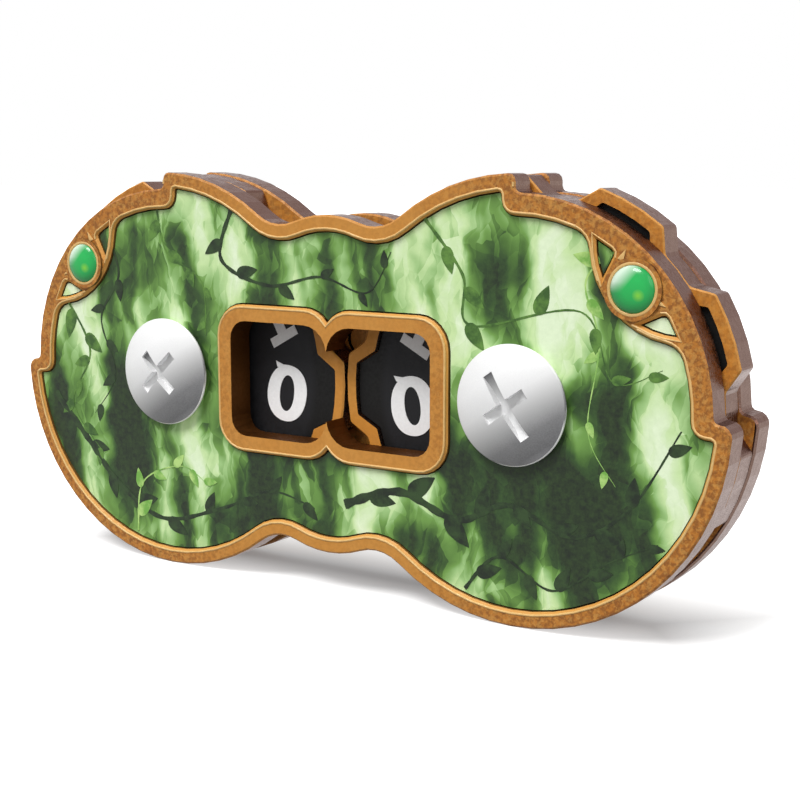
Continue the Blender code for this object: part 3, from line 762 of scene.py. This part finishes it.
def turn(degrees, centre):
    """Turns what is selected about a line through the centre that runs front to back."""
    bpy.ops.transform.rotate(value=math.radians(degrees), orient_axis="Y", center_override=centre)


def extrude_back(distance):
    """Pulls the selected faces to the back; below 0 they go to the front."""
    bpy.ops.mesh.extrude_region_move(TRANSFORM_OT_translate={"value": (0, distance, 0)})


def face_outwards():
    """Makes every face of the piece look outwards."""
    select_whole()
    bpy.ops.mesh.normals_make_consistent(inside=False)


print("edit helpers ready")

# %% Helpers for whole pieces


def cut_out(piece, cutter):
    """Takes one solid out of another and removes the cutter."""
    take(piece)
    modifier = piece.modifiers.new("cut", "BOOLEAN")
    modifier.operation = "DIFFERENCE"
    modifier.solver = "EXACT"
    modifier.object = cutter
    bpy.ops.object.modifier_apply(modifier=modifier.name)
    bpy.data.objects.remove(cutter)


def convert(piece, kind):
    """Turns a piece into a curve or a mesh."""
    take(piece)
    bpy.ops.object.convert(target=kind)
    return bpy.context.active_object


def round_section(curve, radius, steps):
    """Gives a curve a round section with closed ends."""
    curve.dimensions = "3D"
    curve.bevel_depth = radius
    curve.bevel_resolution = steps
    curve.use_fill_caps = True


def dress(piece, material, body="housing"):
    """Gives a piece its finish and hangs it on its body."""
    piece.data.materials.clear()
    piece.data.materials.append(material)
    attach(piece, body)
    return piece


def finish_piece(piece, material, smooth_angle=32, stands_for=None):
    """Shades and dresses a modelled piece, which may stand for a CAD node."""
    take(piece)
    bpy.ops.object.shade_smooth_by_angle(angle=math.radians(smooth_angle))
    if stands_for:
        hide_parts(stands_for)
    return dress(piece, material)


print("piece helpers ready")

# %% [markdown]
# ## Domed screws
#
# The two screws are wide, low domes with a cross recess. The CAD head is made of a few cones, which
# show as rings under soft light. So each screw is drawn again from the outline of the CAD one: a thin
# cylinder is extruded ring by ring into a fine chamfer and a true dome in front, and into the foot
# and shank behind. The cross is cut by two bars whose floors rise at their ends.

# %% Screw shapes
HEAD_SIDES = 96
HEAD_EDGE = 0.15 * MM
HEAD_CHAMFER = 0.10 * MM
HEAD_TAPER = 0.76 * MM
HEAD_FOOT = 5.2 * MM
HEAD_RISE = 1.3 * MM
DOME_RINGS = 14
DOME_TOP = 0.06
SHANK_RADIUS = 1.45 * MM
SHANK_CHAMFER = 0.4 * MM


def extrude_rings(rings, centre, start):
    """Pulls the selected end face through rings of (radius, y), each scaled about the axis."""
    radius, depth = start
    for next_radius, next_depth in rings:
        extrude_back(next_depth - depth)
        share = next_radius / radius
        resize((share, 1, share), (centre.x, next_depth, centre.z))
        radius, depth = next_radius, next_depth


def dome_rings(radius, base):
    """Rings of a spherical cap, from the circle at its base to a small flat top."""
    ball = (radius ** 2 + HEAD_RISE ** 2) / (2 * HEAD_RISE)
    rings = [(radius, base)]
    for step in range(1, DOME_RINGS + 1):
        reach = radius * (1 - (1 - DOME_TOP) * step / DOME_RINGS)
        rings.append((reach, base - (math.sqrt(ball ** 2 - reach ** 2) - (ball - HEAD_RISE))))
    return rings


def screw_blank(side, centre):
    """A screw without its cross: the dome in front, and the tapered foot and the shank behind."""
    low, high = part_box(side + "_screw")
    radius = (high.x - low.x) / 2
    edge_front = low.y + HEAD_RISE + HEAD_CHAMFER
    edge_back = edge_front + HEAD_EDGE
    foot = edge_back + HEAD_TAPER
    bpy.ops.mesh.primitive_cylinder_add(
        vertices=HEAD_SIDES, radius=radius, depth=HEAD_EDGE, rotation=TO_FRONT,
        location=(centre.x, (edge_front + edge_back) / 2, centre.z))
    piece = fresh(side + "_domed_screw")
    edit(piece)
    pick(piece, looks_front)
    extrude_rings(dome_rings(radius - HEAD_CHAMFER, edge_front - HEAD_CHAMFER), centre,
                  (radius, edge_front))
    pick(piece, looks_back)
    behind = [(HEAD_FOOT, foot), (SHANK_RADIUS, foot), (SHANK_RADIUS, high.y - SHANK_CHAMFER),
              (SHANK_RADIUS - SHANK_CHAMFER, high.y)]
    extrude_rings(behind, centre, (radius, edge_back))
    return take(piece), low.y


print("screw helpers ready")

# %% Crosses and screws
CROSS_WIDTH = 1.12 * MM
CROSS_DEEP = 0.95 * MM
CROSS_END_SHARE = 0.62
RAMP_LENGTH = 1.25 * MM
CROSSES = {"left": (5.9 * MM, 5.7 * MM, 45), "right": (5.2 * MM, 7.4 * MM, 35)}


def cross_bar(centre, top, length, degrees):
    """A bar that cuts one arm pair of the cross; its floor rises over the last part of each end."""
    deep, above = top + CROSS_DEEP, top - MM
    bpy.ops.mesh.primitive_cube_add(
        size=1, location=(centre.x, (above + deep) / 2, centre.z),
        scale=(length, deep - above, CROSS_WIDTH))
    bar = fresh("cross_bar")
    edit(bar, "VERT")
    for sign in (-1, 1):
        select_whole()
        bpy.ops.mesh.bisect(plane_co=(centre.x + sign * (length / 2 - RAMP_LENGTH), 0, 0),
                            plane_no=(1, 0, 0))
    pick(bar, lambda middle, _: middle.y > deep - NEAR
         and abs(middle.x - centre.x) > length / 2 - NEAR)
    move_back((CROSS_END_SHARE - 1) * CROSS_DEEP)
    select_whole()
    turn(degrees, centre)
    return take(bar)


def domed_screw(side, sign):
    """A whole screw: the blank with two bars cut out of it."""
    centre = Vector((sign * AXIS_X, 0, AXIS_Z))
    piece, top = screw_blank(side, centre)
    first, second, degrees = CROSSES[side]
    cut_out(piece, cross_bar(centre, top, first, degrees))
    cut_out(piece, cross_bar(centre, top, second, degrees + 90))
    return finish_piece(piece, steels[side], smooth_angle=18, stands_for=side + "_screw")


screws = [domed_screw(side, sign) for side, sign in SIDES.items()]
tell(screws)

# %% [markdown]
# ## Stones and their mounts
#
# A cabochon is a smooth dome, and the CAD stone is a coarser one. A sphere cut in half is the shortest
# way to a fine dome: it is flattened to the height of the CAD stone, and its rim is drawn back into
# the socket. A thin rolled bezel closes the gap between stone and socket: a ring of edges, extruded
# outwards and forwards and then bevelled round. Two small claws stand beside each bezel.

# %% Stones
GIRDLE = 0.9 * MM


def stone(side):
    """A domed stone, with its middle, its radius and the depth where the dome begins."""
    low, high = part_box(side + "_gem")
    centre = (low + high) / 2
    radius = (high.x - low.x) / 2
    centre.y = high.y - GIRDLE
    bpy.ops.mesh.primitive_uv_sphere_add(segments=64, ring_count=32, radius=radius,
                                         rotation=TO_FRONT, location=centre)
    piece = fresh(side + "_stone")
    edit(piece)
    select_whole()
    bpy.ops.mesh.bisect(plane_co=centre, plane_no=(0, 1, 0), use_fill=True, clear_outer=True)
    select_whole()
    resize((1, (centre.y - low.y) / radius, 1), centre)
    pick(piece, lambda middle, face: looks_back(middle, face) and middle.y > centre.y - NEAR)
    extrude_back(GIRDLE)
    finish_piece(piece, emeralds[side], smooth_angle=50, stands_for=side + "_gem")
    return piece, centre, radius


stones = {side: stone(side) for side in SIDES}
tell(item[0] for item in stones.values())

# %% [markdown]
# ## Panel and slit inlays
#
# On the real counter the print lies under a clear coat that nearly fills its pocket, so little of
# the pocket's wall shows. The panel and each inlay are copied, and the front faces of the copy are
# picked and pulled forward by the thickness of that coat. The copy takes the place of the CAD piece.

# %% Coated prints
PANEL_LIFT = 0.45 * MM
INLAY_LIFT = 0.55 * MM


def coated_print(node_name, lift):
    """A copy of a printed CAD piece with its front pulled forward."""
    piece = put(node_name + "_print", nodes[node_name].data.copy())
    edit(piece)
    pick(piece, looks_front)
    move_back(-lift)
    return finish_piece(piece, print_material, stands_for=node_name)


prints = [coated_print("art_panel", PANEL_LIFT)]
prints += [coated_print(f"{side}_{level}_inlay", INLAY_LIFT) for side in SIDES
           for level in ("upper", "lower")]
tell(prints)

# %% Bezels and claws
BEZEL_INNER = 0.06 * MM
BEZEL_OUTER = 0.30 * MM
BEZEL_DEEP = 0.2 * MM
BEZEL_BELOW = 0.02 * MM
BEZEL_ROUND = 0.12 * MM
CLAW_RADIUS = 0.62 * MM
CLAW_THICK = 0.2 * MM
CLAW_SLOPE = 0.12 * MM
CLAW_RISE = 0.04 * MM
CLAW_SHARES = (0.62, 1, 1.25)
CLAWS = ((33.9 * MM, 14.9 * MM, -28), (37.65 * MM, 10.8 * MM, -118))
LINE_GOLD = (0.71, 0.46, 0.175)


def bezel(side):
    """A rolled ring between the stone and the rim of its socket."""
    _, centre, radius = stones[side]
    inner, outer = radius - BEZEL_INNER, radius + BEZEL_OUTER
    back, front = centre.y + BEZEL_DEEP, RIM_FRONT - BEZEL_RISE - BEZEL_BELOW
    bpy.ops.mesh.primitive_circle_add(vertices=64, radius=inner, fill_type="NOTHING",
                                      rotation=TO_FRONT, location=(centre.x, back, centre.z))
    piece = fresh(side + "_bezel")
    edit(piece, "EDGE")
    select_whole()
    for share, depth in ((outer / inner, 0), (1, front - back), (inner / outer, 0), (1, back - front)):
        bpy.ops.mesh.extrude_edges_move(TRANSFORM_OT_translate={"value": (0, depth, 0)})
        resize((share, 1, share), centre)
    select_whole()
    bpy.ops.mesh.remove_doubles(threshold=MERGE)
    face_outwards()
    pick(piece, lambda middle, _: middle.y < front + NEAR)
    bpy.ops.mesh.bevel(offset=BEZEL_ROUND, segments=3, affect="EDGES")
    return finish_piece(piece, gold_trim, smooth_angle=60)


def claw(name, x, z, degrees):
    """A small raised spear point."""
    centre = (x, RIM_FRONT, AXIS_Z + z)
    bpy.ops.mesh.primitive_cylinder_add(vertices=3, radius=CLAW_RADIUS, depth=CLAW_THICK,
                                        rotation=TO_FRONT, location=centre)
    piece = fresh(name)
    edit(piece)
    select_whole()
    resize(CLAW_SHARES, centre)
    turn(degrees, centre)
    pick(piece, looks_front)
    bpy.ops.mesh.inset(thickness=CLAW_SLOPE, depth=CLAW_RISE)
    return finish_piece(piece, gold_trim, smooth_angle=20)


gold_trim = grained("gold trim", LINE_GOLD, FACE_ORANGE, (0.5, 5, 1.5), share=0.30, rough=(0.34, 0.54),
                    relief=(0.2, 0.01))
trims = [bezel(side) for side in SIDES]
trims += [claw(f"{side}_claw_{index}", sign * x, z, sign * degrees)
          for side, sign in SIDES.items() for index, (x, z, degrees) in enumerate(CLAWS)]
tell(trims)

# %% [markdown]
# ## Gold beads along the openings
#
# A rounded gold bead runs along the rim's inner edge, the slits and the outside of the window frame.
# It has to follow the shell exactly, so its path is taken from the shell: on a merged copy the edges
# of the level front are picked by place and the rest deleted. They become a curve with a round
# section, which is made a mesh and sunk until it stands less than a tenth of a millimetre proud.

# %% Beads
LEVEL = 0.99
WINDOW_BOX = (13.15 * MM, 6.55 * MM)
MOUNT_REACH = 3.3 * MM
SLIT_REACH = 8.2 * MM
BEAD_SINK = 0.05 * MM
BEADS = {"rim": 0.13 * MM, "frame": 0.13 * MM, "slit": 0.11 * MM}


def kind_of_edge(middle, line):
    """Which bead an edge carries: rim, frame, slit or none. Only edges of the level front do."""
    level = [face for face in line.link_faces if face.normal.y < -LEVEL
             and abs(face.calc_center_median().y - RIM_FRONT) < NEAR]
    if len(level) != 1 or len(line.link_faces) != 2:
        return None
    beside = next(face for face in line.link_faces if face is not level[0])
    box = abs(middle.x), abs(middle.z - AXIS_Z)
    to_gem = min(math.hypot(middle.x - item[1].x, middle.z - item[1].z) for item in stones.values())
    if to_gem < MOUNT_REACH:
        return None
    if box[0] < FRAME_BOX[0] and box[1] < FRAME_BOX[1]:
        return None if box[0] < WINDOW_BOX[0] and box[1] < WINDOW_BOX[1] else "frame"
    from_axis = Vector((middle.x - math.copysign(AXIS_X, middle.x), 0, middle.z - AXIS_Z))
    if from_axis.length > RIM_REACH and beside.normal.dot(from_axis) > 0:
        return None
    return "slit" if to_gem < SLIT_REACH else "rim"


def bead(kind, radius):
    """A gold bead along every edge of one kind."""
    piece = put(kind + "_bead", nodes["front_shell"].data.copy())
    edit(piece, "EDGE")
    select_whole()
    bpy.ops.mesh.remove_doubles(threshold=MERGE)
    pick(piece, lambda middle, line: kind_of_edge(middle, line) == kind)
    bpy.ops.mesh.select_all(action="INVERT")
    bpy.ops.mesh.delete(type="EDGE")
    piece = convert(piece, "CURVE")
    round_section(piece.data, radius, 3)
    piece = convert(piece, "MESH")
    edit(piece)
    face_outwards()
    move_back(BEAD_SINK)
    return finish_piece(piece, gold_trim, smooth_angle=70)


beads = [bead(kind, radius) for kind, radius in BEADS.items()]
tell(beads)

# %% [markdown]
# ## Vines of the print
#
# The print's crisp shapes are climbing stems with pointed leaves, modelled because a flat shape keeps
# a sharper edge than a texture. Each stem is a tapering curve pressed flat, and one leaf is drawn once
# and copied along it. They lie a few hundredths of a millimetre proud, like a raised varnish. The
# layout is free.

# %% Vine finish
VINE_TONES = {"night": ((0.010, 0.018, 0.009), (0.030, 0.060, 0.020)),
              "moss": ((0.040, 0.100, 0.022), (0.12, 0.25, 0.05)),
              "spring": ((0.17, 0.40, 0.07), (0.46, 0.68, 0.22))}
vine_paints = {tone: grained(tone + " varnish", dark, light, (1.8, 4, 1.6), specular=0.3)
               for tone, (dark, light) in VINE_TONES.items()}
print("vine paints:", list(vine_paints))

# %% Stems and leaves
PANEL_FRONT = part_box("art_panel")[0].y - PANEL_LIFT
VINE_PROUD = 0.04 * MM
PRESSED = 0.1
STEM_STEPS = 12
STEM_TAPER = 0.85
STEM_WAVE = 0.18
STEM_RIPPLE = 1.7
LEAF_WIDTH = 0.62
LEAF_POINT = 0.55
LEAF_TIP = 0.04


def leaf_blank():
    """A pointed leaf, 1 mm long: a disc drawn out to a tip and extruded. Pressed flat later."""
    bpy.ops.mesh.primitive_circle_add(vertices=20, radius=MM / 2, fill_type="NGON",
                                      rotation=TO_FRONT, location=(MM / 2, 0, 0))
    leaf = fresh("leaf")
    for corner in leaf.data.vertices:
        corner.co.z *= LEAF_WIDTH * max(0, 1 - corner.co.x / MM) ** LEAF_POINT + LEAF_TIP
    edit(leaf)
    select_whole()
    extrude_back(VINE_PROUD / PRESSED)
    face_outwards()
    return take(leaf)


def along_spline(points, share):
    """A point and heading on a smooth path through the points."""
    spans = len(points) - 1
    place = min(share * spans, spans - 1e-6)
    index = int(place)
    t = place - index
    a, b, c, d = [Vector(points[max(0, min(spans, index + k))]) for k in (-1, 0, 1, 2)]
    first, second, third = c - a, 2 * a - 5 * b + 4 * c - d, 3 * b - a - 3 * c + d
    slope = first + 2 * second * t + 3 * third * t ** 2
    return 0.5 * (2 * b + first * t + second * t ** 2 + third * t ** 3), math.atan2(slope.y, slope.x)


def flat_ribbon(name, points, width):
    """A tapering stem as a curve, made a mesh. Pressed flat later."""
    curve = bpy.data.curves.new(name, "CURVE")
    round_section(curve, MM, 1)
    spline = curve.splines.new("POLY")
    count = STEM_STEPS * (len(points) - 1)
    spline.points.add(count)
    for step, target in enumerate(spline.points):
        place, _ = along_spline(points, step / count)
        target.co = (place.x * MM, 0, place.y * MM, 1)
        taper = 1 - STEM_TAPER * step / count
        target.radius = width * taper * (1 + STEM_WAVE * math.sin(step * STEM_RIPPLE)) / 2
    return convert(put(name, curve), "MESH")


leaf_model = leaf_blank()
print("panel front at", round(PANEL_FRONT / MM, 2), "mm")
tell([leaf_model])

# %% Vines
VINES = [
    ("night", 1.05, 9, 3.4, [(-41, -4), (-36, -9), (-31, -14), (-24, -17.5), (-15, -15.2), (-8, -12.4),
                             (-2, -13.6)]),
    ("night", 0.50, 6, 2.8, [(-33, 17.5), (-30, 11), (-33, 5.5), (-31, -1), (-34.5, -6)]),
    ("moss", 0.42, 7, 3.0, [(-39, 8), (-35, 1.5), (-38, -5), (-33, -11)]),
    ("night", 0.60, 6, 2.6, [(-13, 18.5), (-14.5, 13), (-8, 10.4), (-1, 11.6), (5, 10.2), (8, 14.5)]),
    ("night", 1.15, 9, 3.6, [(2, -12.6), (9, -10.4), (16, -12.5), (22, -10.2), (29, -12.5), (35, -9),
                             (40, -1)]),
    ("moss", 0.44, 7, 3.2, [(12, 18), (16.5, 12.5), (17.5, 7.5), (29.5, 9.5), (33, 3), (38, 4.5)]),
    ("night", 0.46, 7, 3.0, [(17, -19.5), (21, -15.6), (27, -18.2), (33, -14.5), (38, -12)]),
    ("spring", 0.30, 6, 2.6, [(-28, -19.5), (-27, -13.5), (-21, -11), (-17, -12.8)]),
    ("spring", 0.30, 5, 2.4, [(34, 16), (30, 12.5), (31.5, 6.5), (30.5, -2), (33.5, -7)]),
    ("moss", 0.36, 5, 2.6, [(-24, 19.5), (-22.5, 13.5), (-17.5, 10.5), (-17, 4.5)]),
]
FIRST_LEAF = 0.8
STEM_SPARE = 0.3
ROOT_SIZE = 1.1
SIZE_FALL = 0.45
SIZE_SWAY = 0.15
LEAF_TURN = 38
TURN_SWAY = 14
LEAF_LAYER = 0.2
VINE_LAYER = 0.25


def lay_leaf(points, index, step, leaves, leaf_length):
    """One copy of the leaf at its place on a stem. Turn and size vary along the stem."""
    share = (step + FIRST_LEAF) / (leaves + STEM_SPARE)
    place, heading = along_spline(points, share)
    side = 1 if step % 2 else -1
    sway = 1 + SIZE_SWAY * math.sin(5 * step + index)
    size = leaf_length * (ROOT_SIZE - SIZE_FALL * share) * sway
    angle = heading + side * math.radians(LEAF_TURN + TURN_SWAY * math.sin(3 * step + index))
    proud = -(1 + step % 3) * LEAF_LAYER * VINE_PROUD / PRESSED
    leaf = put("leaf", leaf_model.data.copy())
    leaf.data.transform(Matrix.Translation((place.x * MM, proud, place.y * MM))
                        @ Matrix.Rotation(-angle, 4, "Y") @ Matrix.Diagonal((size, 1, size, 1)))
    return leaf


def vine(index, tone, width, leaves, leaf_length, points):
    """One stem with its leaves as one piece, pressed flat onto the panel."""
    piece = flat_ribbon(f"print_vine_{index}", points, width)
    laid = [lay_leaf(points, index, step, leaves, leaf_length) for step in range(leaves)]
    take(piece)
    for leaf in laid:
        leaf.select_set(True)
    bpy.ops.object.join()
    edit(piece)
    select_whole()
    resize((1, PRESSED, 1), (0, 0, 0))
    layer = PANEL_FRONT - VINE_PROUD * (LEAF_LAYER + VINE_LAYER * (index % 4))
    bpy.ops.transform.translate(value=(0, layer, AXIS_Z))
    return finish_piece(piece, vine_paints[tone])


vines = [vine(index, *facts) for index, facts in enumerate(VINES)]
bpy.data.objects.remove(leaf_model)
print(len(vines), "vines,", sum(len(item.data.polygons) for item in vines), "faces")

# %% [markdown]
# ## Digits
#
# Ten digits stand round each number disc, one every 36 degrees, and the window shows the one at the
# inner side. The photograph shows the zero, a broad oval with a small pen flag, and parts of the one,
# so these two are drawn by outline, and the others are set in type. Each digit is a thin plate of
# paint, because an image would be soft up close. It is made a mesh and then given its place in it.

# %% Digit outlines
DIGIT_HEIGHT = 6.3 * MM
DIGIT_PAINT = 0.06 * MM
TYPE_SHARE = 0.73
TYPE_WEIGHT = 0.2 * MM
ZERO_LEAN = math.radians(-5)
ZERO_OUTER = (2.7, 3.2, 2.15, 64)
ZERO_HOLE = (1.0, 2.05, 2.1, 40)
ZERO_FLAG = [(-0.9, 3.12), (-1.95, 3.35), (-1.7, 2.75)]
FLAG_START, FLAG_END = -0.35, -1.35
ONE = [(-0.65, 1.9), (-0.65, -2.1), (-1.9, -2.1), (-1.9, -3.2), (1.9, -3.2), (1.9, -2.1),
       (0.65, -2.1), (0.65, 3.2), (-0.3, 3.2), (-2.0, 2.3), (-1.6, 1.45)]


def oval(half_width, half_height, squareness, count):
    """A closed oval; squareness above 2 makes it fuller at the shoulders."""
    def swell(value):
        return math.copysign(abs(value) ** (2 / squareness), value)

    angles = [2 * math.pi * step / count for step in range(count)]
    return [(half_width * swell(math.cos(angle)), half_height * swell(math.sin(angle)))
            for angle in angles]


def zero_loops():
    """The leaning oval of the zero with its pen flag at the upper left, and the hole in it."""
    cosine, sine = math.cos(ZERO_LEAN), math.sin(ZERO_LEAN)
    turned = [(x * cosine - y * sine, x * sine + y * cosine) for x, y in oval(*ZERO_OUTER)]
    top = max(range(len(turned)), key=lambda i: turned[i][1])
    start = next(i for i, (x, _) in enumerate(turned) if i >= top and x < FLAG_START)
    end = next(i for i, (x, _) in enumerate(turned) if i > start and x < FLAG_END)
    return [turned[:start] + ZERO_FLAG + turned[end:], oval(*ZERO_HOLE)]


def outline_curve(loops):
    """A filled flat curve from closed loops of points in millimetres."""
    curve = bpy.data.curves.new("digit", "CURVE")
    curve.dimensions = "2D"
    curve.fill_mode = "BOTH"
    for loop in loops:
        spline = curve.splines.new("POLY")
        spline.points.add(len(loop) - 1)
        for target, (x, y) in zip(spline.points, loop):
            target.co = (x * MM, y * MM, 0, 1)
        spline.use_cyclic_u = True
    return curve


def type_curve(text):
    """A digit in the built-in type, made a little heavier."""
    curve = bpy.data.curves.new("digit", "FONT")
    curve.body = text
    curve.size = DIGIT_HEIGHT / TYPE_SHARE
    curve.offset = TYPE_WEIGHT
    curve.align_x = "CENTER"
    curve.align_y = "CENTER"
    return curve


drawn = {0: zero_loops(), 1: [ONE]}
print("digit outlines ready, the zero with", len(drawn[0][0]), "points")

# %% Digits on the discs
DIGIT_REACH = 14.3 * MM
DIGIT_PITCH = math.radians(36)
DIGIT_TILT = math.radians(7.6)
digit_white = grained("digit white", (0.93,) * 3, (0.82,) * 3, (0.35, 5, 1.2), share=0.5, rough=0.5,
                      relief=(0.15, 0.01))


def paint_digit(side, sign, digit):
    """One digit as a thin plate, turned to its place round the disc."""
    curve = outline_curve(drawn[digit]) if digit in drawn else type_curve(str(digit))
    curve.extrude = DIGIT_PAINT / 2
    drawing = put("digit", curve)
    graph = bpy.context.evaluated_depsgraph_get()
    mesh = bpy.data.meshes.new_from_object(drawing.evaluated_get(graph))
    bpy.data.objects.remove(drawing)
    middle = Matrix.Translation((sign * AXIS_X, DISC_FRONT - DIGIT_PAINT / 2, AXIS_Z))
    round_disc = Matrix.Rotation(sign * (digit * DIGIT_PITCH - DIGIT_TILT), 4, "Y")
    reach = Matrix.Translation((-sign * DIGIT_REACH, 0, 0))
    mesh.transform(middle @ round_disc @ reach @ Matrix.Rotation(math.pi / 2, 4, "X"))
    return dress(put(f"{side}_digit_{digit}", mesh), digit_white, side + "_wheel")


digits = [paint_digit(side, sign, digit) for side, sign in SIDES.items() for digit in range(10)]
print(len(digits), "digits painted")

# %% [markdown]
# ## Floor, backdrop and light
#
# The counter stands on a plain white floor. Floor and world look white to the camera and in
# reflections through their own colour, not through more light. Near the counter the floor gives off
# less of its own light, a painted contact shadow that deepens the lamps' own shadow there. One broad
# lamp hangs above and in front, and a weaker one fills from the right. The domes of the screws shade
# towards the bottom mostly through shade painted into their steel.

# %% Floor
FLOOR_REACH = 3.0
FLOOR_GREY = 0.30
FLOOR_SEEN = 0.62
FLOOR_LIFT = 0.66
CONTACT_SHADOW_LIFT = 0.20
FAR_LIFT = 0.93
SHADOW_MIDDLE = 4 * MM
SHADOW_HALF = 34 * MM
SHADOW_START = 0.5 * MM
SHADOW_END = 13 * MM


def seen_directly(tree):
    """1 for the camera, reflections and glass, 0 for the light that a surface gathers."""
    path = tree.nodes.new("ShaderNodeLightPath").outputs
    direct = calc("MAXIMUM", path["Is Camera Ray"], path["Is Glossy Ray"])
    return calc("MAXIMUM", direct, path["Is Transmission Ray"])


bpy.ops.mesh.primitive_plane_add(size=2 * FLOOR_REACH)
floor = fresh("floor")
floor_material, tree, _ = new_material("floor")
tree.nodes.clear()
by_camera = tree.nodes.new("ShaderNodeLightPath").outputs["Is Camera Ray"]
plain = add_node(tree, "ShaderNodeBsdfDiffuse", {
    "Color": mix(by_camera, (FLOOR_GREY,) * 3, (FLOOR_SEEN,) * 3)})
place = split(object_place(tree))
# Painted contact shadow: the floor gives off less of its own light near the counter.
aside = calc("MAXIMUM", calc("ABSOLUTE", calc("SUBTRACT", place["Y"], SHADOW_MIDDLE)),
             calc("SUBTRACT", calc("ABSOLUTE", place["X"]), SHADOW_HALF))
painted_shadow_lift = from_to(between(aside, SHADOW_START, SHADOW_END), CONTACT_SHADOW_LIFT, FAR_LIFT)
elsewhere = part_of(calc("SUBTRACT", seen_directly(tree), by_camera), FLOOR_LIFT)
lift = add_node(tree, "ShaderNodeEmission", {
    "Strength": calc("ADD", both(by_camera, painted_shadow_lift), elsewhere)})
lifted = add_node(tree, "ShaderNodeAddShader", {0: plain.outputs[0], 1: lift.outputs[0]})
add_node(tree, "ShaderNodeOutputMaterial", {"Surface": lifted.outputs[0]})
floor.data.materials.append(floor_material)
print("floor grey", FLOOR_GREY, "and", FLOOR_SEEN, "where the camera looks at it")

# %% World and lamps
WORLD_FILL = 0.32
LAMPS = {"key lamp": ((-0.15, -0.68, 1.0), 3.0, 24), "right fill": ((0.75, -0.45, 0.45), 0.7, 40)}

world = bpy.data.worlds.new("studio")
world.use_nodes = True
bpy.context.scene.world = world
feed(world.node_tree.nodes["Background"], Color=(1, 1, 1),
     Strength=from_to(seen_directly(world.node_tree), WORLD_FILL, 1.0))
for name, (towards, strength, width_degrees) in LAMPS.items():
    lamp = put(name, bpy.data.lights.new(name, "SUN"))
    lamp.data.energy = strength
    lamp.data.angle = math.radians(width_degrees)
    lamp.rotation_euler = Vector(towards).to_track_quat("Z", "Y").to_euler()
bpy.context.scene.view_settings.view_transform = "Standard"
print("world fill", WORLD_FILL, "and", len(LAMPS), "lamps")
